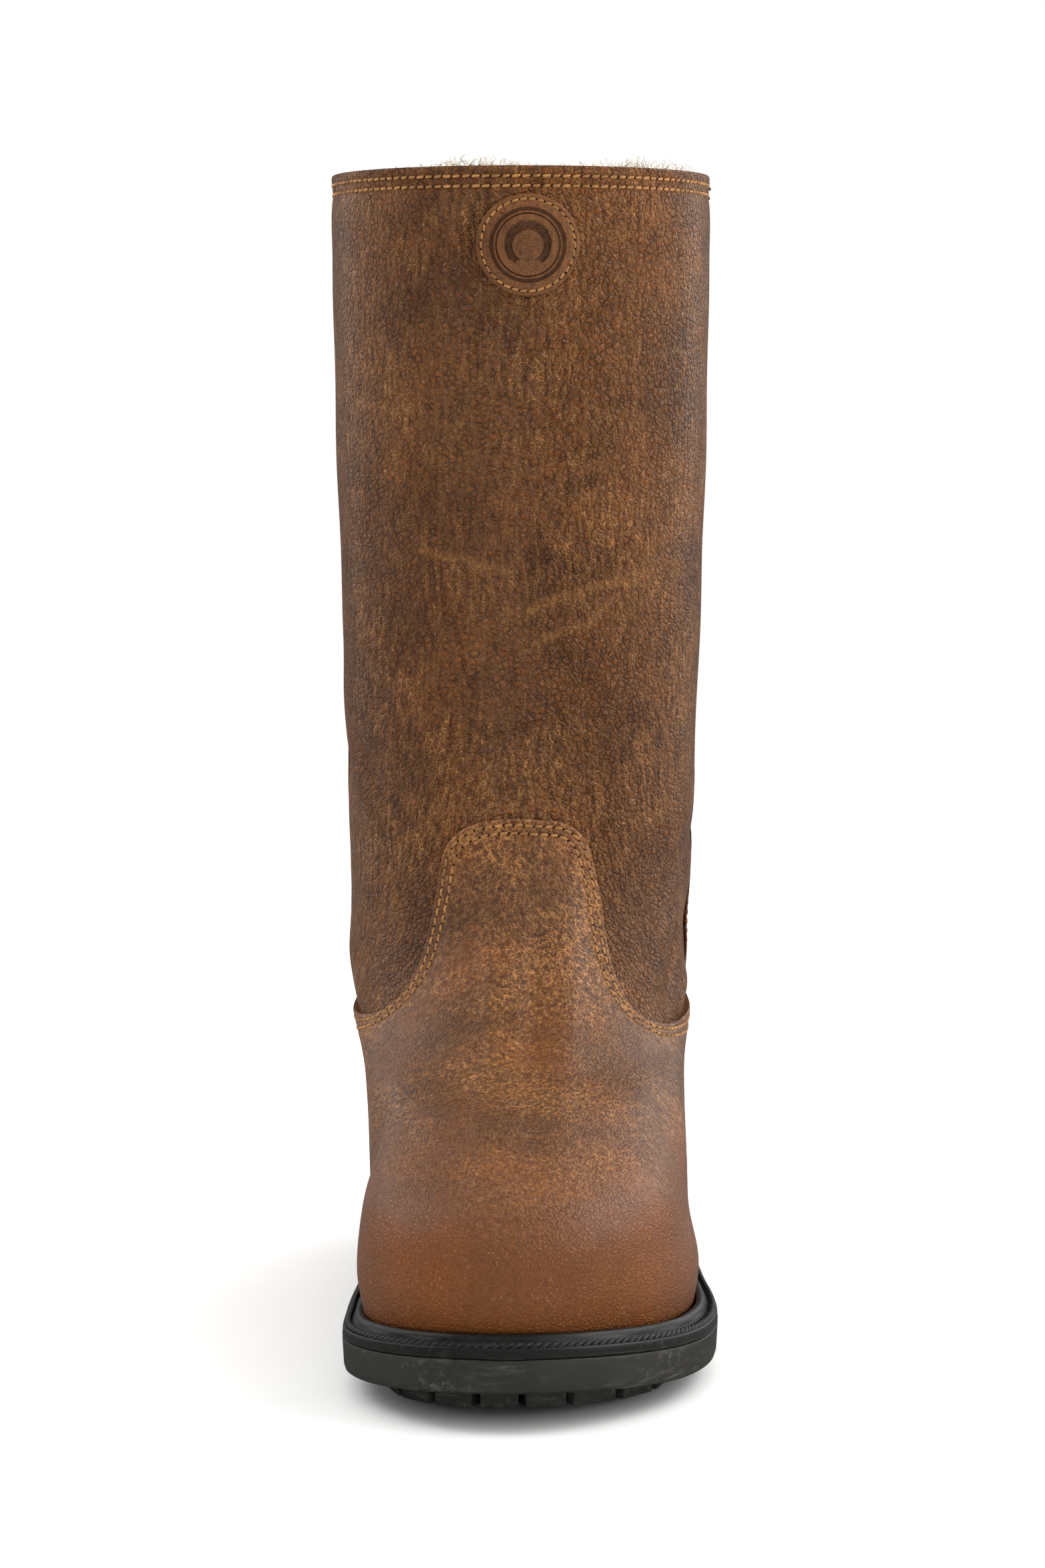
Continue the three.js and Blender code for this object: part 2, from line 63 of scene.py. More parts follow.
# The last from the sole to the topline: front y and z, back y and z, half width, where the widest place is
# (0 at the back), how much of the footprint it keeps, and how square the front and the back are.
LEVELS = np.array([
    [-247, 26, 35, 37.6, 47.4, 0.56, 1.0, 2.3, 2.4],
    [-252, 39, 38.5, 50, 49.6, 0.56, 1.0, 2.3, 2.4],
    [-250, 53, 40, 64, 48.2, 0.54, 0.9, 2.2, 2.4],
    [-237, 65, 40, 76, 47.4, 0.5, 0.65, 2.05, 2.4],
    [-206, 76, 38.5, 87, 48.4, 0.46, 0.35, 2, 2.4],
    [-169, 85, 36, 98, 51.8, 0.43, 0.12, 2, 2.4],
    [-137, 101, 33.5, 112, 54.0, 0.43, 0, 2, 2.3],
    [-114, 126, 31.5, 131, 54.9, 0.45, 0, 2, 2.2],
    [-103, 160, 30.5, 158, 55.6, 0.48, 0, 2.05, 2.1],
    [-97, 208, 32, 204, 57.2, 0.5, 0, 2.1, 2.1],
    [-96, 275, 34.5, 271, 59.2, 0.5, 0, 2.1, 2.1],
    [-98, 354, 37, 348, 60.3, 0.5, 0, 2.1, 2.1],
])
TOP = len(LEVELS) - 1.0
TOP_SPAN = 79.0  # millimetres between the last two levels

# The footprint from above, from the toe's tip round by the outer side, at equal steps of angle.
FOOTPRINT = np.array([
    [-5, -252], [20, -244], [42.5, -221], [53, -186], [51, -140], [44, -80], [38, -22], [31, 20],
    [0, 38], [-31, 20], [-35, -24], [-38, -78], [-43.5, -132], [-47, -180], [-45.5, -216], [-30, -242],
], float)

# The vamp's upper edge as [angle, height], from the inner side over the throat to the outer side.
VAMP_EDGE = np.array([
    [-118, 96], [-100, 92.5], [-80, 91.5], [-62, 92.5], [-50, 95.5], [-40, 102], [-33, 112], [-28, 128],
    [-24.5, 144], [-17, 151.5], [-7, 154], [3, 154], [14, 152.5], [21, 146], [25, 132], [28.5, 114],
    [34, 102], [42, 95], [52, 92], [64, 91], [82, 91.5], [100, 92.5], [118, 96],
], float)
SEAM_ANGLE = 99.0
COUNTER_ANGLE = 111.0
COUNTER_PEAK = 128.0
FEATHER = 0.1  # level of the leathers' lower edge, behind the welt's lip

# Rows of stitches, in millimetres in from the edge that each follows.
COLLAR_ROWS = (3.1, 6.1)
VAMP_ROWS = (2.0, 4.6)
SIDE_ROW = 2.4
COUNTER_ROW = 2.2
SUNK = 0.28  # how deep a row is drawn into the leather

# Soft forms of the worn leather, as angle, height, half length along and half width across in millimetres,
# turn from level in degrees, and how far it stands out (or in, where negative).
FORMS = np.array([
    [-64, 168, 15, 3.6, -42, -1.9],
    [-58, 156, 16, 7, -35, 1.3],
    [-80, 184, 13, 11, 0, 0.9],
    [-82, 163, 9, 5, -15, -1.3],
    [-47, 206, 11, 3, -35, -0.5],
    [-60, 128, 16, 12, 80, 1.3],
    [-74, 108, 12, 8, 10, 0.9],
    [66, 150, 13, 7, 30, 1.2],
    [74, 134, 16, 4.2, 35, -1.7],
    [62, 124, 13, 6, 55, 1.2],
    [86, 112, 12, 9, 0, -3.6],
    [62, 108, 13, 4.6, 72, -1.6],
    [49, 108, 15, 6, 80, 1.0],
    [70, 97, 12, 3, 8, 1.3],
    [-13, 128, 26, 6.5, 90, -0.9],
    [14, 130, 26, 7, 90, 0.7],
    [-60, 66, 19, 5.5, 52, -2.6],
    [-42, 56, 15, 8, 40, 1.2],
    [-66, 80, 16, 6, 60, 0.6],
    [58, 68, 22, 6, -60, -0.8],
    [46, 56, 16, 8, -45, 0.5],
    [122, 150, 26, 5, 14, -1.6],
    [128, 162, 26, 7, 10, 1.2],
    [150, 138, 24, 4.5, 6, -1.5],
    [-126, 146, 26, 5, -12, -1.6],
    [-132, 160, 24, 7, -8, 1.2],
    [-155, 132, 22, 4.5, -6, -1.5],
    [180, 168, 30, 8, 0, -1.1],
    [74, 47, 34, 15, 0, -2.4],
    [0, 69, 46, 7, 0, -2.4],
    [-26, 51, 15, 8, 0, 1.4],
    [24, 51, 15, 8, 0, 1.3],
    [4, 104, 24, 4.5, 90, -1.5],
    [-9, 102, 24, 5.5, 90, 0.9],
    [15, 102, 24, 5.5, 90, 0.9],
    [-74, 100, 26, 14, 0, 1.2],
])


def knots_at(knots, at, closed=False):
    """The smooth curve through evenly spaced knots, at places counted in knots."""
    count = len(knots)
    i = np.floor(at).astype(int)
    if closed:
        a, b, c, d = (knots[(i + k) % count] for k in (-1, 0, 1, 2))
    else:
        i = np.clip(i, 0, count - 2)
        a, b, c, d = (knots[np.clip(i + k, 0, count - 1)] for k in (-1, 0, 1, 2))
        a = np.where((i == 0)[..., None], 2 * b - c, a)
        d = np.where((i == count - 2)[..., None], 2 * c - b, d)
    f = (at - i)[..., None]
    bend = 2 * a - 5 * b + 4 * c - d
    return 0.5 * (2 * b + (c - a) * f + bend * f**2 + (3 * b - a - 3 * c + d) * f**3)


def ease(x):
    """0 below 0, 1 above 1, and smooth between."""
    x = np.clip(x, 0, 1)
    return x * x * (3 - 2 * x)


def mix(a, b, share):
    """The value a share of the way from a to b."""
    return a + (b - a) * share


def lift(y):
    """How far the foot is raised over the ball: up to the heel behind it and to the toe in front."""
    return 17 * ease((y + 150) / 110) + 6 * np.clip((-185 - y) / 70, 0, 1) ** 1.6


def sole_top(y):
    """Height of the welt's upper face, where the last stands."""
    return 20 + lift(y)


def last_point(angle, level):
    """Points of the last, in millimetres, at angles round the leg and levels up it."""
    angle, level = np.broadcast_arrays(np.asarray(angle, float), np.asarray(level, float))
    row = knots_at(LEVELS, np.clip(level, 0, TOP - 1e-6))
    front_y, front_z, back_y, back_z, half, widest, foot, square_front, square_back = np.moveaxis(row, -1, 0)
    print_xy = knots_at(FOOTPRINT, (angle % TURN) / 22.5, closed=True)
    c, s = np.cos(np.radians(angle)), np.sin(np.radians(angle))
    power = np.where(c > 0, square_front, square_back)
    reach = (np.abs(c) ** power + np.abs(s) ** power) ** (-1 / power)
    oval = widest + np.where(c > 0, 1 - widest, widest) * reach * c
    share = mix(oval, (print_xy[..., 1] - HEEL_Y) / (TOE_Y - HEEL_Y), foot)
    across = mix(reach * s, print_xy[..., 0] / HALF_BALL, foot)
    y = mix(back_y, front_y, share)
    dip = sole_top(y) - mix(sole_top(back_y), sole_top(front_y), share)
    z = mix(back_z, front_z, share) + np.clip(1 - level / 4.5, 0, 1) * dip
    return np.stack([across * half, y, z], -1)


def last_normal(angle, level):
    """Outward unit normals of the last."""
    up = last_point(angle, np.minimum(level + 0.05, TOP)) - last_point(angle, np.maximum(level - 0.05, 0))
    along = last_point(angle + 1, level) - last_point(angle - 1, level)
    out = np.cross(along, up)
    return out / np.linalg.norm(out, axis=-1, keepdims=True)


def soft_form(angle, height):
    """How far the leather stands off the last, in millimetres: its slow waves, folds and dents."""
    around = (np.asarray(angle) + 180) % TURN - 180
    total = 0.35 * np.sin(around * 0.061 + height * 0.043) * np.sin(height * 0.071 - around * 0.029 + 1.7)
    total = total * ease((height - 90) / 40)
    for middle, z, along, across, turn, depth in FORMS:
        side = (around - middle + 180) % TURN - 180
        c, s = math.cos(math.radians(turn)), math.sin(math.radians(turn))
        p = side * c + (height - z) * s
        q = (height - z) * c - side * s
        total = total + depth * np.exp(-((p / along) ** 2) - (q / across) ** 2)
    return total


def upper_point(angle, level, offset=0.0):
    """Points of the upper at an offset outwards from the last, with soft forms and the pinch at the top."""
    angle, level = np.broadcast_arrays(np.asarray(angle, float), np.asarray(level, float))
    here = last_point(angle, level)
    below_top = np.clip(TOP - level, 0, None) * TOP_SPAN
    pinch = -0.3 * np.exp(-(((below_top - 6) / 3.0) ** 2)) + 0.3 * np.exp(-(((below_top - 15) / 7) ** 2))
    out = offset + soft_form(angle, here[..., 2]) + pinch
    return here + last_normal(angle, level) * np.asarray(out)[..., None]


def level_at(angle, height):
    """The level at which the last reaches a height."""
    angle, height = np.broadcast_arrays(np.asarray(angle, float), np.asarray(height, float))
    low, high = np.zeros_like(angle), np.full_like(angle, TOP)
    for _ in range(26):
        middle = (low + high) / 2
        below = last_point(angle, middle)[..., 2] < height
        low, high = np.where(below, middle, low), np.where(below, high, middle)
    return low


def edge_curve(points, share):
    """[angle, level] along a curve through [angle, height] points."""
    stops, back = np.unique(np.round(np.asarray(share, float), 9), return_inverse=True)
    at = knots_at(np.asarray(points, float), stops * (len(points) - 1))
    return np.stack([at[:, 0], level_at(at[:, 0], at[:, 1])], -1)[back.reshape(np.shape(share))]


def inset_curve(curve, distance):
    """A curve of [angle, level] moved sideways over the last, to its right as it runs."""
    angle, level = curve[..., 0], curve[..., 1]
    here = last_point(angle, level)
    run = np.gradient(here, axis=0)
    run /= np.linalg.norm(run, axis=-1, keepdims=True)
    by_angle = last_point(angle + 0.5, level) - last_point(angle - 0.5, level)
    by_level = (last_point(angle, level + 0.05) - last_point(angle, level - 0.05)) * 10
    side = np.cross(run, np.cross(by_angle, by_level))
    side /= np.linalg.norm(side, axis=-1, keepdims=True)
    dot = lambda p, q: (p * q).sum(-1)
    aa, ab, bb = dot(by_angle, by_angle), dot(by_angle, by_level), dot(by_level, by_level)
    a, b = dot(side, by_angle), dot(side, by_level)
    det = aa * bb - ab * ab
    return curve + distance * np.stack([(a * bb - b * ab) / det, (b * aa - a * ab) / det], -1)


def footprint(angle, grow):
    """Points round the sole in plan, grown outwards."""
    at = lambda turn: knots_at(FOOTPRINT, ((angle + turn) % TURN) / 22.5, closed=True)
    run = at(1.0) - at(-1.0)
    run /= np.linalg.norm(run, axis=-1, keepdims=True)
    return at(0.0) + np.stack([run[..., 1], -run[..., 0]], -1) * np.asarray(grow)[..., None]


# ------------------------------------------------------------------ making meshes


def laid_grid(place, columns, rows):
    """A grid with its vertices at place(u, v) in millimetres, u and v running from 0 to 1."""
    shape = bmesh.new()
    bmesh.ops.create_grid(shape, x_segments=columns, y_segments=rows, size=1.0)
    flat = np.array([vert.co.xy for vert in shape.verts]) / 2 + 0.5
    points = place(flat[:, 0], flat[:, 1]) * MM
    for vert, point in zip(shape.verts, points.tolist()):
        vert.co = point
    return shape


def closed_up(shape, distance=0.00001):
    """Merges the meeting edges of a grid that runs round, and turns its faces outwards."""
    bmesh.ops.remove_doubles(shape, verts=shape.verts, dist=distance)
    bmesh.ops.dissolve_degenerate(shape, edges=shape.edges, dist=distance / 10)
    bmesh.ops.recalc_face_normals(shape, faces=shape.faces)
    return shape


def finished(name, shape, material, nodes=(), sharp=50.0):
    """Turns a bmesh into a shown piece."""
    mesh = bpy.data.meshes.new(name)
    shape.to_mesh(mesh)
    shape.free()
    return shown(name, mesh, [material], nodes, sharp)


def shown(name, mesh, materials, nodes=(), sharp=50.0):
    """Puts a mesh in the scene as a piece that rides on the boot and stands for CAD nodes."""
    piece = bpy.data.objects.new(name, mesh)
    bpy.context.scene.collection.objects.link(piece)
    for material in materials:
        mesh.materials.append(material)
    mesh.shade_smooth()
    mesh.set_sharp_from_angle(angle=math.radians(sharp))
    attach(piece, "root")
    if nodes:
        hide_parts(*nodes)
    return piece


def walled(name, shape, thickness, material, nodes):
    """A sheet whose faces look outwards, given its thickness inwards and shown."""
    mesh = bpy.data.meshes.new(name + "_sheet")
    shape.to_mesh(mesh)
    shape.free()
    sheet = bpy.data.objects.new(name + "_sheet", mesh)
    bpy.context.scene.collection.objects.link(sheet)
    wall = sheet.modifiers.new("wall", "SOLIDIFY")
    wall.thickness = thickness * MM
    wall.offset = -1.0
    solid = bpy.data.meshes.new_from_object(sheet.evaluated_get(bpy.context.evaluated_depsgraph_get()))
    bpy.data.objects.remove(sheet)
    bpy.data.meshes.remove(mesh)
    solid.name = name
    return shown(name, solid, [material], nodes)


def gathered(share, grip):
    """Shares from 0 to 1 drawn together at both ends, for fine rows along an edge."""
    return share - grip * np.sin(2 * np.pi * share) / (2 * np.pi)


def shoulder(distance, radius=0.7, drop=0.4):
    """How far a cut edge is worn down, at a distance from it."""
    return -drop * np.clip(1 - distance / radius, 0, 1) ** 2


def channel(distance, middle, width=0.7, depth=SUNK):
    """The groove that a row of stitches pulls into the leather."""
    return -depth * np.exp(-(((distance - middle) / width) ** 2))


def placed_copies(templates, places):
    """One mesh of many copies. templates holds meshes, and places holds (template number, matrix) pairs."""
    whole = bmesh.new()
    for number, matrix in places:
        template = templates[number]
        template.transform(matrix)
        whole.from_mesh(template)
        template.transform(matrix.inverted())
    return whole


def template_mesh(name, shape):
    """A mesh to be copied, made from a bmesh that it frees."""
    mesh = bpy.data.meshes.new(name)
    shape.to_mesh(mesh)
    shape.free()
    return mesh


# ------------------------------------------------------------------ settings


def colour_setting(name, description, default):
    return bpy.props.FloatVectorProperty(
        name=name, description=description, default=default, subtype="COLOR", size=3, min=0.0, max=1.0
    )


def length_setting(name, description, default):
    return bpy.props.FloatProperty(
        name=name, description=description, default=default, min=0.0, unit="LENGTH", subtype="DISTANCE"
    )


def number_setting(name, description, default):
    return bpy.props.FloatProperty(name=name, description=description, default=default, min=0.0)


class BootLeather(bpy.types.PropertyGroup):
    """Sizes and colours of the leathers."""

    thickness: length_setting("Thickness", "Thickness of the upper leather", 0.0019)
    shaft_cell: length_setting("Shaft pebble", "Width of a pebble of the shaft's grain", 0.0020)
    vamp_cell: length_setting("Vamp pebble", "Width of a pebble of the vamp's grain", 0.00135)
    dark: colour_setting("Dark", "Waxed tops of the pebbles", (0.085, 0.028, 0.0070))
    mid: colour_setting("Middle", "Ground colour of the hide", (0.175, 0.062, 0.0150))
    tan: colour_setting("Tan", "Veins between the pebbles and scuffs", (0.44, 0.19, 0.052))
    rust: colour_setting("Rust", "Reddish pulled-up places", (0.27, 0.076, 0.0125))


class BootStitching(bpy.types.PropertyGroup):
    """Sizes and colours of the stitching."""

    pitch: length_setting("Pitch", "Distance between needle holes", 0.0031)
    patch_pitch: length_setting("Patch pitch", "Distance between the holes round the patch", 0.0026)
    welt_pitch: length_setting("Welt pitch", "Distance between the welt's stitches", 0.0026)
    radius: length_setting("Thread radius", "Radius of the upper's thread", 0.00044)
    thread: colour_setting("Thread", "Waxed thread of the upper", (0.42, 0.195, 0.058))
    hole: colour_setting("Hole", "Shade inside a needle hole", (0.022, 0.009, 0.004))


class BootShearling(bpy.types.PropertyGroup):
    """Sizes and colours of the shearling."""

    pile: length_setting("Pile", "Depth of the pile in the shaft", 0.009)
    curls: bpy.props.IntProperty(name="Curls", description="Number of separate curls", default=2300, min=0)
    colour: colour_setting("Wool", "Colour of the wool", (0.90, 0.86, 0.78))


class BootSole(bpy.types.PropertyGroup):
    """Colours of the sole."""

    rubber: colour_setting("Rubber", "Colour of the rubber", (0.026, 0.0245, 0.0205))
    dust: colour_setting("Dust", "Scuffs and dust on the rubber", (0.12, 0.115, 0.10))


class BootStage(bpy.types.PropertyGroup):
    """The floor, the lights and the camera."""

    floor: colour_setting("Floor", "Colour of the floor", (0.93, 0.93, 0.92))
    distance: length_setting("Camera distance", "From the camera to the leg's front", 1.5)
    lens: number_setting("Lens", "Focal length in millimetres on a frame 36 mm high", 107.2)


# ------------------------------------------------------------------ material nodes


class Graph:
    """Adds nodes to a material's or a node group's tree."""

    def __init__(self, tree):
        self.tree = tree

    def node(self, kind, inputs=None, **settings):
        node = self.tree.nodes.new("ShaderNode" + kind)
        for name, value in settings.items():
            setattr(node, name, value)
        for key, value in (inputs or {}).items():
            if isinstance(value, bpy.types.NodeSocket):
                self.tree.links.new(value, node.inputs[key])
            else:
                node.inputs[key].default_value = value
        return node

    def maths(self, operation, a, b=0.0, c=0.5, clamp=False):
        return self.node("Math", {0: a, 1: b, 2: c}, operation=operation, use_clamp=clamp).outputs[0]

    def span(self, value, low, high, to_low=0.0, to_high=1.0):
        """The value eased from one range to another."""
        inputs = {"Value": value, "From Min": low, "From Max": high, "To Min": to_low, "To Max": to_high}
        return self.node("MapRange", inputs, interpolation_type="SMOOTHSTEP").outputs["Result"]

    def blend(self, factor, a, b):
        """A colour between a, at factor 0, and b."""
        return self.node("Mix", {0: factor, 6: a, 7: b}, data_type="RGBA").outputs[2]

    def noise(self, vector, scale, detail=2.0, roughness=0.5):
        inputs = {"Vector": vector, "Scale": scale, "Detail": detail, "Roughness": roughness}
        return self.node("TexNoise", inputs)

    def cells(self, vector, scale, feature="F1"):
        return self.node("TexVoronoi", {"Vector": vector, "Scale": scale}, feature=feature)

    def stretched(self, vector, scale=(1, 1, 1), turn=(0, 0, 0)):
        return self.node("Mapping", {"Vector": vector, "Scale": scale, "Rotation": turn}).outputs[0]

    def object_place(self):
        return self.node("TexCoord").outputs["Object"]

    def use(self, group, inputs):
        """Adds a node group with its inputs set, and gives its outputs."""
        return self.node("Group", inputs, node_tree=group).outputs


def new_group(name, inputs, outputs):
    """An empty node group with named sockets: its graph, its inputs and a function that sets its outputs."""
    tree = bpy.data.node_groups.new(name, "ShaderNodeTree")
    for label, kind, default in inputs:
        socket = tree.interface.new_socket(label, in_out="INPUT", socket_type="NodeSocket" + kind)
        if default is not None:
            socket.default_value = default
    for label, kind in outputs:
        tree.interface.new_socket(label, in_out="OUTPUT", socket_type="NodeSocket" + kind)
    graph = Graph(tree)
    entry = tree.nodes.new("NodeGroupInput").outputs
    leave = tree.nodes.new("NodeGroupOutput").inputs
    return graph, entry, lambda label, socket: tree.links.new(socket, leave[label])


def hide_grain_group():
    """Pebbled grain: its height, the veins between the pebbles and a tone for each pebble."""
    found = bpy.data.node_groups.get("hide_grain")
    if found:
        return found
    graph, given, give = new_group(
        "hide_grain",
        [("Vector", "Vector", None), ("Density", "Float", 500.0), ("Wander", "Float", 0.0008)],
        [("Height", "Float"), ("Vein", "Float"), ("Tone", "Float")],
    )
    drift = graph.noise(given["Vector"], 160.0, 2.0).outputs["Color"]
    centred = graph.node("VectorMath", {0: drift, 1: (0.5, 0.5, 0.5)}, operation="SUBTRACT").outputs[0]
    moved = graph.node("VectorMath", {0: centred, "Scale": given["Wander"]}, operation="SCALE").outputs[0]
    place = graph.node("VectorMath", {0: given["Vector"], 1: moved}, operation="ADD").outputs[0]
    edge = graph.cells(place, given["Density"], "DISTANCE_TO_EDGE").outputs["Distance"]
    fine_density = graph.maths("MULTIPLY", given["Density"], 2.3)
    fine = graph.cells(place, fine_density, "DISTANCE_TO_EDGE").outputs["Distance"]
    tone = graph.cells(place, given["Density"]).outputs["Color"]
    crown = graph.maths("MULTIPLY", graph.span(edge, 0.0, 0.3), 0.74)
    crinkle = graph.maths("MULTIPLY", graph.span(fine, 0.0, 0.25), 0.26)
    give("Height", graph.maths("ADD", crown, crinkle))
    coarse_vein = graph.span(edge, 0.0, 0.16, 1.0, 0.0)
    fine_vein = graph.maths("MULTIPLY", graph.span(fine, 0.0, 0.12, 1.0, 0.0), 0.45)
    give("Vein", graph.maths("MAXIMUM", coarse_vein, fine_vein))
    give("Tone", graph.node("SeparateColor", {"Color": tone}).outputs["Red"])
    return graph.tree


def hide_tone_group():
    """Slow changes over a hide: worn patches, fine streaks along it and a mottle."""
    found = bpy.data.node_groups.get("hide_tone")
    if found:
        return found
    graph, given, give = new_group(
        "hide_tone",
        [("Vector", "Vector", None), ("Streak length", "Float", 0.13)],
        [("Patch", "Float"), ("Streak", "Float"), ("Mottle", "Float")],
    )
    patch = graph.noise(given["Vector"], 21.0, 3.0, 0.55).outputs["Fac"]
    along = graph.node("CombineXYZ", {"X": 1.0, "Y": 1.0, "Z": given["Streak length"]}).outputs[0]
    drawn = graph.node("VectorMath", {0: given["Vector"], 1: along}, operation="MULTIPLY").outputs[0]
    streak = graph.noise(drawn, 620.0, 4.0, 0.7).outputs["Fac"]
    mottle = graph.noise(given["Vector"], 95.0, 4.0, 0.6).outputs["Fac"]
    give("Patch", graph.span(patch, 0.36, 0.66))
    give("Streak", graph.span(streak, 0.36, 0.68))
    give("Mottle", graph.span(mottle, 0.32, 0.7))
    return graph.tree


def scuff_group():
    """Pale scuffs: fine broken scratches, strongest where a second noise lets them through."""
    found = bpy.data.node_groups.get("scuff")
    if found:
        return found
    graph, given, give = new_group(
        "scuff",
        [("Vector", "Vector", None), ("Scale", "Float", 200.0), ("Amount", "Float", 0.5)],
        [("Mask", "Float")],
    )
    fine = graph.noise(given["Vector"], given["Scale"], 6.0, 0.75).outputs["Fac"]
    wide = graph.noise(given["Vector"], graph.maths("MULTIPLY", given["Scale"], 0.13), 2.0).outputs["Fac"]
    both = graph.maths("MULTIPLY", graph.span(fine, 0.5, 0.66), graph.span(wide, 0.42, 0.6))
    give("Mask", graph.maths("MULTIPLY", both, given["Amount"], clamp=True))
    return graph.tree


def rgba(colour, scale=1.0):
    """A colour for a socket, lighter or darker by the scale."""
    return (*[min(1.0, c * scale) for c in colour], 1.0)


def new_material(name, metallic=0.0, **sockets):
    """A material with a Principled shader whose plain values are set on its own sockets."""
    material = bpy.data.materials.new(name)
    material.use_nodes = True
    material.node_tree.nodes.clear()
    graph = Graph(material.node_tree)
    shader = graph.node("BsdfPrincipled", {"Metallic": metallic})
    for label, value in sockets.items():
        shader.inputs[label.replace("_", " ")].default_value = value
    graph.node("OutputMaterial", {"Surface": shader.outputs[0]})
    return material, graph, shader


def set_finish(graph, shader, colour, roughness, height=None, depth=0.0002):
    """Feeds a Principled shader its colour, roughness and bump."""
    links = graph.tree.links
    links.new(colour, shader.inputs["Base Color"])
    links.new(roughness, shader.inputs["Roughness"])
    if height is not None:
        bump = graph.node("Bump", {"Height": height, "Distance": depth, "Strength": 1.0})
        links.new(bump.outputs[0], shader.inputs["Normal"])


def scar(graph, place, start, end, width, shift):
    """A soft mask along a healed scratch between two places on the front of the leg, given as (x, z)."""
    (x0, z0), (x1, z1) = start, end
    length = math.hypot(x1 - x0, z1 - z0)
    turn = math.atan2(z1 - z0, x1 - x0)
    wander = graph.noise(place, 75.0, 3.0).outputs["Fac"]
    parts = graph.node("SeparateXYZ", {"Vector": place}).outputs
    x = graph.maths("SUBTRACT", parts["X"], (x0 + x1) / 2 * MM)
    z = graph.maths("SUBTRACT", parts["Z"], (z0 + z1) / 2 * MM)
    c, s = math.cos(turn), math.sin(turn)
    p = graph.maths("ADD", graph.maths("MULTIPLY", x, c), graph.maths("MULTIPLY", z, s))
    q = graph.maths("SUBTRACT", graph.maths("MULTIPLY", z, c), graph.maths("MULTIPLY", x, s))
    q = graph.maths("ADD", q, graph.maths("MULTIPLY", graph.maths("SUBTRACT", wander, 0.5 + shift), 0.012))
    along = graph.span(graph.maths("ABSOLUTE", p), length * 0.3 * MM, length * 0.58 * MM, 1.0, 0.0)
    across = graph.span(graph.maths("ABSOLUTE", q), 0.0, width * MM, 1.0, 0.0)
    return graph.maths("MULTIPLY", along, across)


def pressed_shade_marks(graph, place):
    """A mask of the patch's pressed rings and horseshoe, for painted shade in their hollows."""
    parts = graph.node("SeparateXYZ", {"Vector": place}).outputs
    x = graph.maths("SUBTRACT", parts["X"], PATCH_X * MM)
    z = graph.maths("SUBTRACT", parts["Z"], PATCH_Z * MM)
    flat = graph.node("CombineXYZ", {"X": x, "Y": 0.0, "Z": z}).outputs[0]
    radius = graph.node("VectorMath", {0: flat}, operation="LENGTH").outputs["Value"]

    def ring(middle, width):
        off = graph.maths("ABSOLUTE", graph.maths("SUBTRACT", radius, middle * MM))
        return graph.span(off, width * 0.6 * MM, width * MM, 0.62, 0.0)

    shoe = graph.maths("MULTIPLY", ring(6.0, 1.5), graph.span(z, -5.0 * MM, -4.4 * MM))
    return graph.maths("MAXIMUM", graph.maths("MAXIMUM", ring(11.0, 0.6), ring(9.6, 0.35)), shoe)


SCARS = (  # start and end as (x, z), width and shift
    ((-33, 238), (-3, 230), 3.4, 0.0),
    ((-6, 216), (50, 231), 4.2, 0.02),
    ((2, 206), (34, 222), 3.0, -0.02),
)


def scar_marks(graph, place, streak):
    """A mask of all the healed scratches, broken up by the hide's streaks."""
    first, second, third = (scar(graph, place, *line) for line in SCARS)
    marks = graph.maths("MAXIMUM", graph.maths("MAXIMUM", first, second), third)
    marks = graph.maths("MULTIPLY", marks, graph.maths("MULTIPLY_ADD", streak, 0.7, 0.4))
    return graph.maths("MULTIPLY", marks, 0.72)


def pore_marks(graph, place):
    """A mask of the pale pores on the toe."""
    dots = graph.cells(place, 720.0).outputs["Distance"]
    few = graph.span(graph.noise(place, 160.0, 1.0).outputs["Fac"], 0.42, 0.6)
    along = graph.node("SeparateXYZ", {"Vector": place}).outputs["Y"]
    on_toe = graph.span(along, -0.2, -0.165, 0.4, 0.0)
    spots = graph.span(dots, 0.1, 0.24, 1.0, 0.0)
    return graph.maths("MULTIPLY", spots, graph.maths("MULTIPLY", few, on_toe))


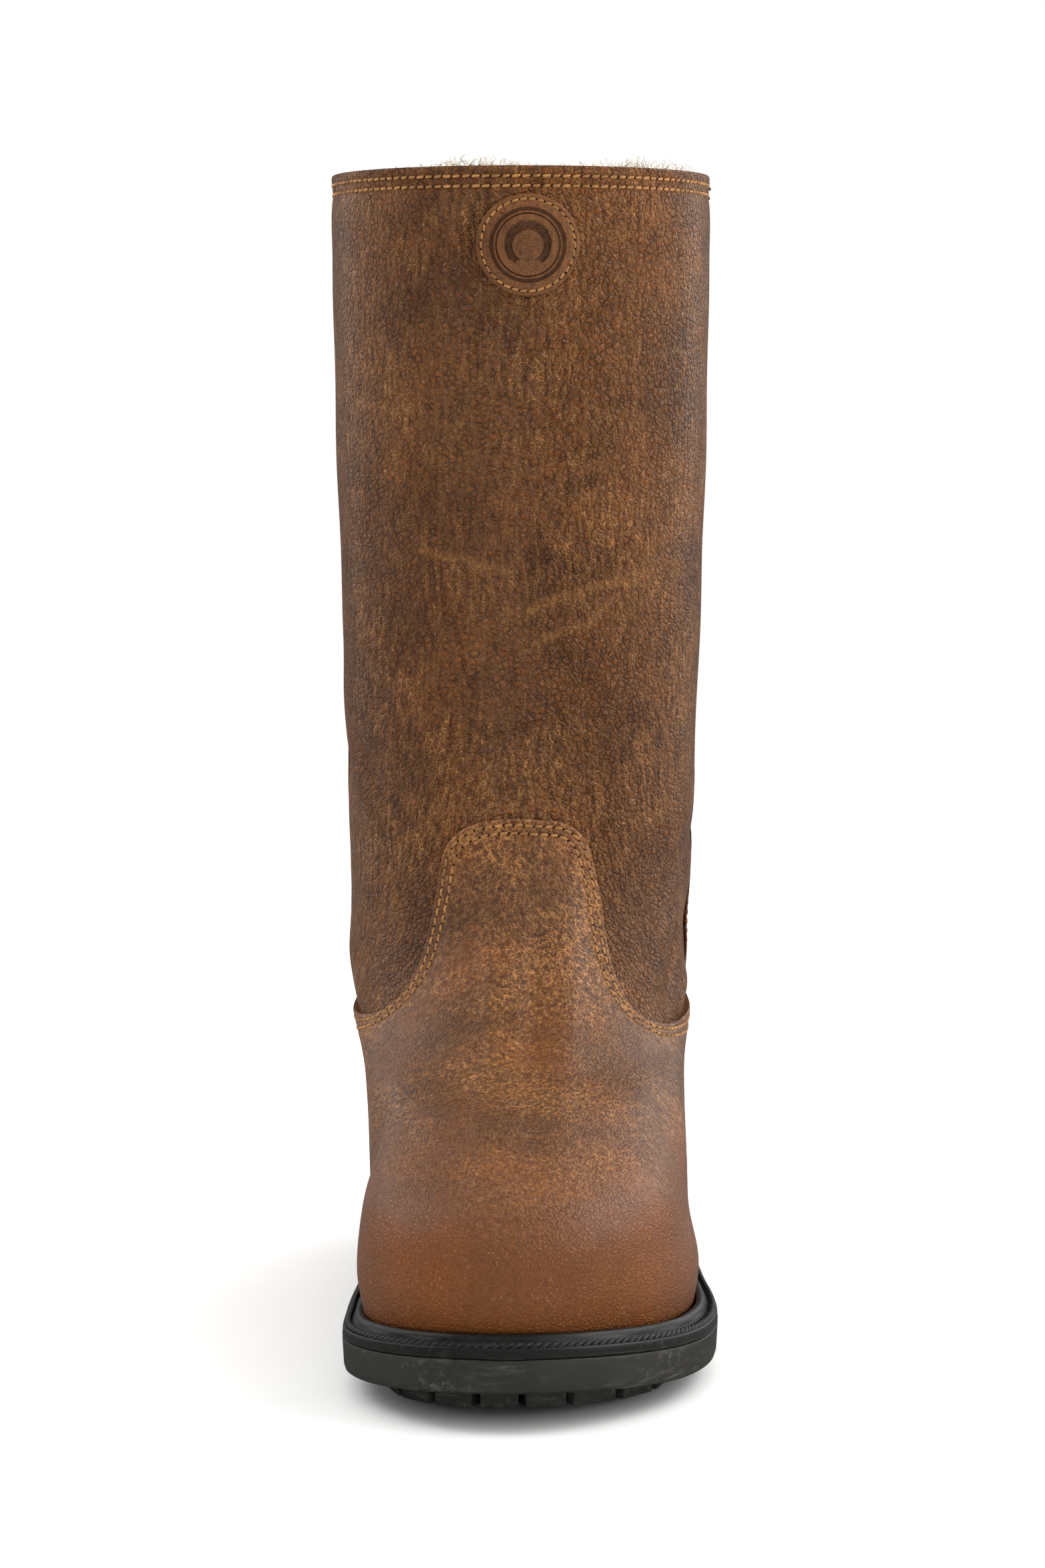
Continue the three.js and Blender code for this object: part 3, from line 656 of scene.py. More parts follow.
def make_leather(
    name, settings, cell, depth, veins, gloss, redness=0.3, patchy=1.0, streaky=0.26, shine=0.3, wax=0.08,
    tone_depth=1.1, smooth_toe=False, pores=False, scars=False, pressed=False,
):
    """Waxed pull-up leather: dark pebble tops, painted shade in the crevices between them, tan veins, rusty
    patches and a soft shine.
    """
    material, graph, shader = new_material(
        name, Specular_IOR_Level=shine, Coat_Weight=wax, Coat_Roughness=0.24
    )
    place = graph.object_place()
    tone = graph.use(hide_tone_group(), {"Vector": place, "Streak length": streaky})
    grain = graph.use(hide_grain_group(), {"Vector": place, "Density": 1.0 / cell, "Wander": cell * 0.9})

    evened = graph.span(tone["Patch"], 0.0, 1.0, 1.0 - patchy, 1.0)
    ground = graph.blend(evened, rgba(settings.dark, 1.12 * tone_depth), rgba(settings.mid, tone_depth))
    mottle = graph.maths("MULTIPLY", tone["Mottle"], 0.45)
    ground = graph.blend(mottle, ground, rgba(settings.mid, 1.2 * tone_depth))
    rust = graph.span(graph.noise(place, 34.0, 3.0, 0.6).outputs["Fac"], 0.42, 0.68, 0.0, redness)
    ground = graph.blend(rust, ground, rgba(settings.rust, 1.1 * tone_depth))
    ground = graph.blend(graph.span(grain["Tone"], 0.55, 1.0, 0.0, 0.3), ground, rgba(settings.dark, 0.8))
    # Painted shade: the crevices between the pebbles are darkened in the colour itself.
    crevice_shade = graph.maths("MULTIPLY", grain["Vein"], 0.85)
    ground = graph.blend(crevice_shade, ground, rgba(settings.dark, 0.42))

    rubbed = graph.span(graph.noise(place, 26.0, 4.0, 0.62).outputs["Fac"], 0.32, 0.72)
    through = graph.maths("MULTIPLY", tone["Streak"], graph.maths("ADD", rubbed, 0.25), clamp=True)
    worn = graph.maths("MULTIPLY", graph.maths("ADD", grain["Vein"], 0.05), through)
    if smooth_toe:
        up = graph.node("SeparateXYZ", {"Vector": place}).outputs["Z"]
        worn = graph.maths("MULTIPLY", worn, graph.span(up, 0.05, 0.085, 0.12, 1.0))
        ground = graph.blend(graph.span(up, 0.045, 0.085, 0.3, 0.0), ground, rgba(settings.rust, 1.3))
    vein = graph.maths("MULTIPLY", worn, veins, clamp=True)
    if scars:
        vein = graph.maths("MAXIMUM", vein, scar_marks(graph, place, tone["Streak"]))
    colour = graph.blend(vein, ground, rgba(settings.tan))
    if pores:
        colour = graph.blend(pore_marks(graph, place), colour, rgba(settings.tan, 1.35))
    if pressed:
        # Painted shade darkens the pressed rings and horseshoe.
        colour = graph.blend(pressed_shade_marks(graph, place), colour, rgba(settings.dark, 0.45))

    rough = graph.maths("MULTIPLY_ADD", grain["Height"], -0.12, gloss + 0.1)
    rough = graph.maths("ADD", rough, graph.maths("MULTIPLY", tone["Mottle"], 0.1))
    swell = graph.maths("MULTIPLY", graph.noise(place, 120.0, 2.0).outputs["Fac"], 0.5)
    height = graph.maths("ADD", grain["Height"], swell)
    set_finish(graph, shader, colour, rough, height, depth)
    soft_bump = graph.node("Bump", {"Height": height, "Distance": depth * 0.4})
    graph.tree.links.new(soft_bump.outputs[0], shader.inputs["Coat Normal"])
    return material


def make_thread(name, colour, gloss=0.55):
    """Twisted waxed thread."""
    material, graph, shader = new_material(name, Specular_IOR_Level=0.4)
    place = graph.object_place()
    ply = graph.noise(graph.stretched(place, (1, 1, 1), (0.5, 0.5, 0.3)), 2600.0, 2.0).outputs["Fac"]
    soil = graph.noise(place, 160.0, 3.0).outputs["Fac"]
    tone = graph.blend(graph.span(soil, 0.35, 0.65), rgba(colour, 0.62), rgba(colour, 1.2))
    tone = graph.blend(graph.span(ply, 0.4, 0.6, 0.0, 0.5), tone, rgba(colour, 0.45))
    rough = graph.span(soil, 0.3, 0.7, gloss, gloss + 0.2)
    set_finish(graph, shader, tone, rough, ply, 0.00015)
    return material


def make_hole_shade(settings):
    """The shade in a needle hole."""
    material, graph, shader = new_material("needle_hole_shade", Specular_IOR_Level=0.1)
    place = graph.object_place()
    # Speckle in the painted shade of the hole.
    shade_speckle = graph.noise(place, 900.0, 2.0).outputs["Fac"]
    tone = graph.blend(shade_speckle, rgba(settings.hole, 0.5), rgba(settings.hole, 1.6))
    set_finish(graph, shader, tone, graph.span(shade_speckle, 0.2, 0.8, 0.8, 1.0))
    return material


def make_rubber(name, settings, gloss=0.5, dusty=1.0, tint=1.0):
    """Moulded rubber, slightly chalky, with scuffs and dust."""
    material, graph, shader = new_material(name, Specular_IOR_Level=0.45)
    place = graph.object_place()
    scuffs = graph.use(scuff_group(), {"Vector": place, "Scale": 260.0, "Amount": dusty})
    lengthways = graph.stretched(place, (1, 1, 7))
    drag = graph.use(scuff_group(), {"Vector": lengthways, "Scale": 120.0, "Amount": dusty * 0.7})
    bloom = graph.noise(place, 18.0, 3.0).outputs["Fac"]
    deep, light = (rgba(settings.rubber, shade * tint) for shade in (0.8, 1.35))
    tone = graph.blend(graph.span(bloom, 0.35, 0.7), deep, light)
    pale = graph.maths("MAXIMUM", scuffs["Mask"], drag["Mask"])
    tone = graph.blend(graph.maths("MULTIPLY", pale, 0.55), tone, rgba(settings.dust))
    stipple = graph.noise(place, 1500.0, 3.0).outputs["Fac"]
    rough = graph.maths("ADD", graph.span(bloom, 0.3, 0.7, gloss - 0.06, gloss + 0.08), pale, clamp=True)
    height = graph.maths("ADD", stipple, graph.maths("MULTIPLY", pale, 0.5))
    set_finish(graph, shader, tone, rough, height, 0.00009)
    return material


def make_wool(name, colour):
    """Soft shearling: cream wool, a little deeper and warmer between the curls, as painted shade in the
    hollows there.
    """
    material, graph, shader = new_material(
        name, Specular_IOR_Level=0.15, Sheen_Weight=0.35, Sheen_Roughness=0.6, Subsurface_Weight=0.25,
        Subsurface_Scale=0.004,
    )
    place = graph.object_place()
    clump = graph.cells(place, 210.0).outputs["Distance"]
    fibre = graph.noise(place, 1900.0, 3.0, 0.7).outputs["Fac"]
    soft = graph.noise(place, 60.0, 2.0).outputs["Fac"]
    # Painted shade: the wool is darker and warmer in the hollows between the curls.
    between = rgba((colour[0] * 0.8, colour[1] * 0.74, colour[2] * 0.66))
    tone = graph.blend(graph.span(clump, 0.2, 0.9), rgba(colour), between)
    tone = graph.blend(graph.span(soft, 0.4, 0.7, 0.0, 0.4), tone, rgba((0.92, 0.88, 0.82)))
    rough = graph.span(fibre, 0.2, 0.8, 0.85, 1.0)
    height = graph.maths("SUBTRACT", graph.maths("MULTIPLY", fibre, 0.7), graph.maths("MULTIPLY", clump, 1.4))
    set_finish(graph, shader, tone, rough, height, 0.0012)
    return material


def make_speckled(name, light, dark, scale, depth, roughness=0.85, metallic=0.0):
    """Fibrous or grained stock for the hidden pieces."""
    material, graph, shader = new_material(name, metallic=metallic, Specular_IOR_Level=0.3)
    place = graph.object_place()
    grain = graph.noise(place, scale, 5.0, 0.7).outputs["Fac"]
    crumbs = graph.cells(place, scale * 0.6).outputs["Distance"]
    tone = graph.blend(graph.span(grain, 0.35, 0.65), rgba(dark), rgba(light))
    rough = graph.span(grain, 0.3, 0.7, roughness - 0.1, min(1.0, roughness + 0.1))
    set_finish(graph, shader, tone, rough, graph.maths("ADD", grain, crumbs), depth)
    return material


def kept(name, make):
    """A material made once and used by several pieces."""
    return bpy.data.materials.get(name) or make()


def shaft_leather():
    s = bpy.context.scene.boot_leather
    return kept("shaft_leather", lambda: make_leather(
        "shaft_leather", s, s.shaft_cell, depth=0.0022, veins=1.25, gloss=0.25, tone_depth=1.42, scars=True))


def vamp_leather():
    s = bpy.context.scene.boot_leather
    return kept("vamp_leather", lambda: make_leather(
        "vamp_leather", s, s.vamp_cell, depth=0.00032, veins=1.5, gloss=0.25, redness=0.8, patchy=0.4,
        streaky=0.8, wax=0.32, tone_depth=0.72, smooth_toe=True, pores=True))


def patch_leather():
    s = bpy.context.scene.boot_leather
    return kept("patch_leather", lambda: make_leather(
        "patch_leather", s, s.vamp_cell * 0.7, depth=0.00012, veins=0.4, gloss=0.38, patchy=0.5, shine=0.34,
        tone_depth=1.15, pressed=True))


def upper_thread():
    s = bpy.context.scene.boot_stitching
    return kept("upper_thread", lambda: make_thread("upper_thread", s.thread))


def needle_hole_shade():
    return kept("needle_hole_shade", lambda: make_hole_shade(bpy.context.scene.boot_stitching))


def shearling():
    return kept("shearling", lambda: make_wool("shearling", bpy.context.scene.boot_shearling.colour))


# ------------------------------------------------------------------ leather panels

LAP = 2.0  # how far a leather that laps over another stands off it
SEAM_LAP = 1.2  # the same for the thinned edge of the shaft's side seams


def turned(angle):
    """How far an angle is round from the toe, on either side."""
    return np.abs((np.asarray(angle) + 180) % TURN - 180)


def leather_thickness():
    return bpy.context.scene.boot_leather.thickness / MM


def lap_rise(angle, start, lap=LAP):
    """The rise of a panel that laps over its neighbour at the angle start, and comes down behind the lap."""
    return lap * (1 - ease((turned(angle) - start - 8) / 9))


def hidden_edge():
    """The lower edge of the front shaft panel, under the vamp."""
    angle, height = VAMP_EDGE[:, 0], VAMP_EDGE[:, 1]
    return np.stack([angle * (1 - 0.38 * np.exp(-((angle / 35) ** 2))), height - 9], -1)


def collar_edge(level):
    """The worn topline and the grooves of the two rows under it."""
    below_top = (TOP - level) * TOP_SPAN
    return shoulder(below_top) + channel(below_top, COLLAR_ROWS[0]) + channel(below_top, COLLAR_ROWS[1])


def shaft_front_point(u, v):
    """The front panel, from under the vamp up to the topline. Its sides run under the back panel."""
    share = mix(0.5 / 22, 21.5 / 22, u)
    low = edge_curve(hidden_edge(), share)
    level = mix(low[:, 1], TOP, gathered(v, 0.8))
    return upper_point(low[:, 0], level, collar_edge(level))


def back_lower_edge():
    """The lower edge of the back panel as [angle, height], under the counter cover."""
    half = [[SEAM_ANGLE, 94.5], [110, 94.5], [119, 95], [130, 92], [145, 88], [162, 87]]
    return np.array(half + [[180, 87]] + [[TURN - a, z] for a, z in reversed(half)])


def shaft_back_point(u, v):
    """The back panel, which laps over the front one at both side seams."""
    share = gathered(u, 0.9)
    low = edge_curve(back_lower_edge(), share)
    level = mix(low[:, 1], TOP, gathered(v, 0.8))
    from_seam = turned(low[:, 0]) - SEAM_ANGLE
    offset = lap_rise(low[:, 0], SEAM_ANGLE, SEAM_LAP) + collar_edge(level)
    offset = offset + shoulder(from_seam) + channel(from_seam, SIDE_ROW)
    return upper_point(low[:, 0], level, offset)


EDGE_BAND = 8.0  # width of the band along the vamp's edge whose rows run with the edge


def vamp_point(u, v):
    """The vamp: rows from the welt up to a band, then rows that follow its upper edge."""
    edge = edge_curve(VAMP_EDGE, np.linspace(0, 1, 900))
    inner = inset_curve(edge, EDGE_BAND)
    at = lambda curve: np.stack([np.interp(u, np.linspace(0, 1, 900), curve[:, k]) for k in (0, 1)], -1)
    top, band = at(edge), at(inner)
    reach = VAMP_EDGE[-1, 0]
    low = np.stack([mix(-reach, reach, u), np.full_like(u, FEATHER)], -1)
    split = 0.8
    in_band = np.clip((v - split) / (1 - split), 0, 1)[:, None]
    below = np.clip(v / split, 0, 1)[:, None]
    place = np.where(v[:, None] > split, mix(band, top, in_band), mix(low, band, below))
    from_edge = np.where(v > split, (1 - in_band[:, 0]) * EDGE_BAND, 99.0)
    offset = LAP + shoulder(from_edge) + channel(from_edge, VAMP_ROWS[0]) + channel(from_edge, VAMP_ROWS[1])
    return upper_point(place[:, 0], place[:, 1], offset)


def counter_edge(share):
    """[angle, level] along the counter cover's upper edge."""
    stops, back = np.unique(np.round(share, 9), return_inverse=True)
    angle = mix(COUNTER_ANGLE, TURN - COUNTER_ANGLE, stops)
    height = mix(91, COUNTER_PEAK, np.sin(np.pi * stops) ** 2)
    return np.stack([angle, level_at(angle, height)], -1)[back.reshape(np.shape(share))]


def counter_point(u, v):
    """The counter cover, from behind the welt up to its edge."""
    share = gathered(u, 0.85)
    top = counter_edge(share)
    level = mix(FEATHER, top[:, 1], gathered(v, 0.8))
    from_side = (turned(top[:, 0]) - COUNTER_ANGLE) * 1.2
    from_top = (top[:, 1] - level) * 15
    offset = LAP + lap_rise(top[:, 0], COUNTER_ANGLE) + shoulder(from_side) + shoulder(from_top)
    offset = offset + channel(np.minimum(from_side, from_top), COUNTER_ROW)
    return upper_point(top[:, 0], level, offset)


class BOOT_OT_shaft(bpy.types.Operator):
    """Builds the front and back panels of the shaft"""

    bl_idname = "boot.shaft"
    bl_label = "Shaft"

    def execute(self, context):
        thickness, leather = leather_thickness(), shaft_leather()
        front = laid_grid(shaft_front_point, 215, 215)
        walled("shaft_front_panel", front, thickness, leather, ["shaft_front"])
        back = laid_grid(shaft_back_point, 215, 190)
        walled("shaft_back_panel", back, thickness, leather, ["shaft_back"])
        return {"FINISHED"}


class BOOT_OT_foot(bpy.types.Operator):
    """Builds the vamp and the counter cover"""

    bl_idname = "boot.foot"
    bl_label = "Vamp and counter"

    def execute(self, context):
        thickness, leather = leather_thickness(), vamp_leather()
        vamp = laid_grid(vamp_point, 330, 130)
        walled("vamp_leather_piece", vamp, thickness, leather, ["vamp"])
        cover = laid_grid(counter_point, 180, 90)
        walled("counter_leather_piece", cover, thickness, leather, ["counter_cover"])
        return {"FINISHED"}


# ------------------------------------------------------------------ the patch

PATCH_X, PATCH_Z, PATCH_RADIUS = 2.0, 330.0, 15.6
PATCH_THICKNESS = 1.3
PATCH_STITCH_RADIUS = 14.0
PATCH_SEAT = 0.25  # how far the patch's underside stands off the shaft


def on_patch(across, up, offset):
    """Points over the patch's middle, given across and up, at an offset from the shaft."""
    angle, level = across, np.full_like(across, TOP - 0.3)
    for _ in range(14):
        here = last_point(angle, level)
        angle = angle + (PATCH_X + across - here[..., 0]) * 0.9
        level = level + (PATCH_Z + up - here[..., 2]) / TOP_SPAN
    return upper_point(angle, level, offset)


def horseshoe_height(x, y):
    """The height of a horseshoe pressed into the patch: an open ring, wider at the toe, with nail holes."""
    angle = np.degrees(np.arctan2(x, y))
    radius = np.hypot(x / 0.94, y)
    width = 1.25 + 0.35 * np.cos(np.radians(angle))
    band = ease((width - np.abs(radius - 6.2)) / 0.22)
    opening = ease((148 - np.abs(angle)) / 8)
    nails = np.zeros_like(x)
    for turn in (30, 62, 94, -30, -62, -94):
        nail_x, nail_y = 6.2 * math.sin(math.radians(turn)) * 0.94, 6.2 * math.cos(math.radians(turn))
        nails = np.maximum(nails, ease((0.62 - np.hypot(x - nail_x, y - nail_y)) / 0.3))
    return -0.75 * band * opening + 0.6 * nails * band * opening


def patch_point(u, v):
    """The patch's face: u runs round it and v out to its rim."""
    turn = 2 * np.pi * u
    radius = PATCH_RADIUS * v
    x, y = radius * np.sin(turn), radius * np.cos(turn)
    ring = -0.65 * ease((0.6 - np.abs(radius - 11.0)) / 0.2)
    inner_ring = -0.4 * ease((0.3 - np.abs(radius - 9.6)) / 0.2)
    rim = channel(radius, PATCH_STITCH_RADIUS, 0.6, 0.3) + shoulder(PATCH_RADIUS - radius, 0.8, 0.5)
    return on_patch(x, y, PATCH_SEAT + PATCH_THICKNESS + ring + inner_ring + rim + horseshoe_height(x, y))


def closed_disc(shape):
    """Joins a grid's two sides, draws its inner row to a point and turns it to face the toe."""
    bmesh.ops.remove_doubles(shape, verts=shape.verts, dist=0.000005)
    bmesh.ops.dissolve_degenerate(shape, edges=shape.edges, dist=0.000002)
    bmesh.ops.recalc_face_normals(shape, faces=shape.faces)
    if sum(face.normal.y for face in shape.faces) > 0:
        bmesh.ops.reverse_faces(shape, faces=shape.faces)
    return shape


class BOOT_OT_patch(bpy.types.Operator):
    """Builds the round patch with its pressed ornament"""

    bl_idname = "boot.patch"
    bl_label = "Patch"

    def execute(self, context):
        disc = closed_disc(laid_grid(patch_point, 190, 90))
        walled("shaft_patch", disc, PATCH_THICKNESS, patch_leather(), ["patch"])
        return {"FINISHED"}


# ------------------------------------------------------------------ stitching


def stitch_template(radius, length):
    """One stitch: a short arch of thread that dips into the leather at both ends, lying along +X."""
    shape = bmesh.new()
    bmesh.ops.create_circle(shape, cap_ends=True, segments=6, radius=radius)
    upright = Matrix.Rotation(math.radians(90), 3, "Y")
    bmesh.ops.rotate(shape, verts=shape.verts, cent=(0, 0, 0), matrix=upright)
    bend, sweep = length / 2 / math.sin(math.radians(72)), math.radians(144)
    bmesh.ops.translate(shape, verts=shape.verts, vec=(0, 0, bend))
    turn = Matrix.Rotation(-sweep / 2, 3, "Y")
    bmesh.ops.rotate(shape, verts=shape.verts, cent=(0, 0, 0), matrix=turn)
    bmesh.ops.spin(
        shape, geom=shape.faces[:], cent=(0, 0, 0), axis=(0, 1, 0), dvec=(0, 0, 0), angle=sweep, steps=6,
        use_duplicate=False,
    )
    bmesh.ops.translate(shape, verts=shape.verts, vec=(0, 0, -bend * math.cos(sweep / 2)))
    bmesh.ops.scale(shape, verts=shape.verts, vec=(1, 1, 0.55))
    bmesh.ops.recalc_face_normals(shape, faces=shape.faces)
    return template_mesh("stitch", shape)


def hole_shade_template(radius):
    """A needle hole's painted shade: a flat dark oval disc."""
    shape = bmesh.new()
    bmesh.ops.create_circle(shape, cap_ends=True, segments=8, radius=radius)
    bmesh.ops.scale(shape, verts=shape.verts, vec=(1.25, 0.85, 1))
    return template_mesh("needle_hole_shade", shape)


def frames_along(points, outs, pitch):
    """Evenly spaced places along a line, each as (point, run, out), and the distance between two."""
    steps = np.linalg.norm(np.diff(points, axis=0), axis=1)
    length = np.concatenate([[0], np.cumsum(steps)])
    count = int(round(length[-1] / pitch))
    stops = (np.arange(count) + 0.5) * length[-1] / count
    pick = lambda values, at: np.stack([np.interp(at, length, values[:, k]) for k in range(3)], -1)
    here, out = pick(points, stops), pick(outs, stops)
    run = pick(points, np.minimum(stops + 0.3, length[-1])) - pick(points, np.maximum(stops - 0.3, 0))
    run /= np.linalg.norm(run, axis=1, keepdims=True)
    out -= (out * run).sum(1, keepdims=True) * run
    out /= np.linalg.norm(out, axis=1, keepdims=True)
    return list(zip(here, run, out)), length[-1] / count


def place_matrix(here, run, out, yaw=0.0, rise=0.0, swell=1.0):
    """Stands a template at a place, turned by yaw about the outward direction and moved along it by rise."""
    side = np.cross(out, run)
    turned_run = run * math.cos(yaw) + side * math.sin(yaw)
    turned_side = np.cross(out, turned_run)
    axes = Matrix([list(turned_run * swell), list(turned_side * swell), list(out * swell)]).transposed()
    return Matrix.Translation(Vector((here + out * rise) * MM)) @ axes.to_4x4()


def stitch_row(name, line, pitch, node, seed, slant=0.1, radius=None):
    """A row of stitches with a dark disc of painted shade for a needle hole between each two. line gives
    points and outward directions.
    """
    settings = bpy.context.scene.boot_stitching
    points, outs = line
    frames, step = frames_along(points, outs, pitch / MM)
    radius = radius or settings.radius / MM
    templates = [stitch_template(radius * MM, step * 0.68 * MM), hole_shade_template(radius * 1.5 * MM)]
    random = np.random.default_rng(seed)
    threads, holes = [], []
    for here, run, out in frames:
        yaw = slant + random.normal(0, 0.05)
        threads.append((0, place_matrix(here, run, out, yaw, -radius * 0.35, random.uniform(0.93, 1.05))))
        # The painted shade of a needle hole: a dark disc laid just over the leather.
        holes.append((1, place_matrix(here + run * step * 0.5, run, out, 0.0, 0.05)))
    mesh = two_material_mesh(name, placed_copies(templates, threads), placed_copies(templates, holes))
    return shown(name, mesh, [upper_thread(), needle_hole_shade()], [node], 40.0)


def two_material_mesh(name, first, second):
    """One mesh from two shapes, the second with the second material."""
    for face in second.faces:
        face.material_index = 1
    part = bpy.data.meshes.new(name + "_part")
    second.to_mesh(part)
    second.free()
    first.from_mesh(part)
    bpy.data.meshes.remove(part)
    mesh = bpy.data.meshes.new(name)
    first.to_mesh(mesh)
    first.free()
    return mesh


def line_over(angle, level, offset):
    """A line over the upper as points and outward directions."""
    return upper_point(angle, level, offset), last_normal(angle, level)


def collar_line(distance):
    """A line round the shaft at a distance below the topline, stepping up onto the side seams."""
    angle = np.linspace(0, TURN, 900)
    step_up = ease((turned(angle) - SEAM_ANGLE + 1.2) / 1.4)
    offset = lap_rise(angle, SEAM_ANGLE, SEAM_LAP) * step_up - SUNK
    return line_over(angle, np.full_like(angle, TOP - distance / TOP_SPAN), offset)


def vamp_line(distance):
    """A line along the vamp's upper edge."""
    share = np.linspace(0.03, 0.97, 900)
    curve = inset_curve(edge_curve(VAMP_EDGE, share), distance)
    return line_over(curve[:, 0], curve[:, 1], LAP - SUNK)


def side_line(sign):
    """A line up a side seam: sign is 1 on the outer side and -1 on the inner."""
    level = np.linspace(level_at(sign * (SEAM_ANGLE + SIDE_ROW), 97.0), TOP - 8.5 / TOP_SPAN, 600)
    angle = np.full_like(level, sign * (SEAM_ANGLE + SIDE_ROW))
    return line_over(angle, level, SEAM_LAP - SUNK)


def counter_line():
    """A line along the counter cover's edge."""
    curve = inset_curve(counter_edge(np.linspace(0.015, 0.985, 600)), COUNTER_ROW)
    return line_over(curve[:, 0], curve[:, 1], LAP + lap_rise(curve[:, 0], COUNTER_ANGLE) - 0.2)


def patch_line():
    """The ring of stitches round the patch."""
    turn = np.linspace(0, 2 * np.pi, 400)
    across, up = PATCH_STITCH_RADIUS * np.sin(turn), PATCH_STITCH_RADIUS * np.cos(turn)
    points = on_patch(across, up, PATCH_SEAT + PATCH_THICKNESS - 0.3)
    outs = np.tile([0.0, -1.0, 0.0], (len(turn), 1))
    return points, outs


class BOOT_OT_stitching(bpy.types.Operator):
    """Sews the upper: every stitch is its own small arch of thread"""

    bl_idname = "boot.stitching"
    bl_label = "Stitching"

    def execute(self, context):
        s = context.scene.boot_stitching
        upper, lower = (collar_line(row) for row in COLLAR_ROWS)
        stitch_row("collar_stitches_upper", upper, s.pitch, "collar_stitching_upper", 11)
        stitch_row("collar_stitches_lower", lower, s.pitch, "collar_stitching_lower", 12)
        edge, inner = (vamp_line(row) for row in VAMP_ROWS)
        stitch_row("vamp_stitches_edge", edge, s.pitch, "vamp_stitching_edge", 13)
        stitch_row("vamp_stitches_inner", inner, s.pitch, "vamp_stitching_inner", 14)
        stitch_row("side_stitches_medial", side_line(-1), s.pitch, "side_stitching_medial", 15)
        stitch_row("side_stitches_lateral", side_line(1), s.pitch, "side_stitching_lateral", 16)
        stitch_row("counter_stitches", counter_line(), s.pitch, "counter_stitching", 17)
        stitch_row("patch_stitches", patch_line(), s.patch_pitch, "patch_stitching", 18, radius=0.36)
        return {"FINISHED"}


# ------------------------------------------------------------------ shearling and the inside

LINING_OUT = -2.3  # offset of the shaft lining's outer face
PILE_BASE = 2.5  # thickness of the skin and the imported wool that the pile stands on
# Tufts over the topline: angle, half width in degrees and rise in millimetres.
TUFTS = ((-14, 15, 3.4), (-26, 7, 2.2), (44, 20, 3.6), (66, 12, 3.2), (-125, 20, 2.5), (150, 25, 2.8))


def wool_lumps(angle, up, size=1.0):
    """Uneven depth of the pile in millimetres."""
    waves = 0.0
    for k, (a, b, phase) in enumerate([(7, 0.21, 0.3), (13, -0.33, 1.9), (19, 0.47, 4.1), (31, -0.6, 2.2)]):
        waves = waves + np.sin(np.radians(angle) * a + up * b + phase) / (1.4 + 0.4 * k)
    return waves * size


def shaft_lining_point(u, v):
    """The pile: v runs down the inner face, from the topline, and round the bottom up the outer face."""
    angle = TURN * u
    pile = bpy.context.scene.boot_shearling.pile / MM
    inside = v < 0.8
    top, low = TOP - 0.01, 5.3
    level = np.where(inside, mix(top, low, np.clip(v / 0.8, 0, 1)), mix(low, top, (v - 0.8) / 0.2))
    lumps = wool_lumps(angle, level * 14, 0.8)
    crown = ease(np.clip(v, 0, 1) / 0.03)
    face = LINING_OUT - PILE_BASE - (pile - PILE_BASE + lumps) * crown
    offset = np.where(inside, face, LINING_OUT)
    return upper_point(angle, level, offset)


def foot_lining_point(u, v):
    """The foot's pile: v runs down the inner face and up the outer one."""
    angle = TURN * u
    inside = v < 0.7
    level = np.where(inside, mix(5.5, 0.6, np.clip(v / 0.7, 0, 1)), mix(0.6, 5.5, (v - 0.7) / 0.3))
    offset = np.where(inside, -8.2 + wool_lumps(angle, level * 14, 0.5), -3.2)
    return upper_point(angle, level, offset)


def curl_template(turns, height, radius, thickness):
    """One lock of wool: a tapering coil that rises along +Z."""
    shape = bmesh.new()
    bmesh.ops.create_circle(shape, cap_ends=True, segments=4, radius=thickness)
    bmesh.ops.translate(shape, verts=shape.verts, vec=(radius, 0, 0))
    steps = 8
    bmesh.ops.spin(
        shape, geom=shape.faces[:], cent=(0, 0, 0), axis=(0.0, 0.0, 1.0), dvec=(0, 0, height / steps),
        angle=turns * 2 * math.pi, steps=steps, use_duplicate=False,
    )
    for vert in shape.verts:
        taper = 1 - 0.35 * max(0.0, vert.co.z / height)
        vert.co.x *= taper
        vert.co.y *= taper
    bmesh.ops.recalc_face_normals(shape, faces=shape.faces)
    return template_mesh("curl", shape)


def tuft_height(angle):
    """How far the wool stands over the topline, in millimetres, round the opening."""
    around = (angle + 180) % TURN - 180
    tall = 0.0
    for middle, half, rise in TUFTS:
        away = (around - middle + 180) % TURN - 180
        tall = max(tall, rise * math.exp(-(away / half) ** 2 * 1.4))
    return tall


def curl_places(random, count):
    """Where each curl grows: most round the topline, the rest down the inside of the shaft."""
    pile = bpy.context.scene.boot_shearling.pile / MM
    places = []
    for i in range(count):
        on_rim = i < count * 0.5
        angle = random.uniform(0, TURN)
        if on_rim:
            depth = random.uniform(0.0, 1.0)
            level = TOP - 0.001
            offset = LINING_OUT - 0.6 - depth * (pile - 0.5)
            sink = tuft_height(angle) * (1 - 0.4 * depth) - 3.9 + random.uniform(-0.6, 0.6)
            base = upper_point(angle, level, offset) + np.array([0, 0, sink])
            aim = last_normal(np.array(angle), np.array(level)) * random.uniform(-0.9, 0.1)
            aim = aim + np.array([random.normal(0, 0.3), random.normal(0, 0.3), 0.9])
        else:
            level = TOP - random.uniform(0.01, 1.9) ** 1.25
            offset = LINING_OUT - pile + 0.6
            base = upper_point(angle, level, offset)
            aim = -last_normal(np.array(angle), np.array(level)) * 0.8
            aim = aim + np.array([random.normal(0, 0.35), random.normal(0, 0.35), random.normal(-0.3, 0.4)])
        places.append((base, aim / np.linalg.norm(aim)))
    return places


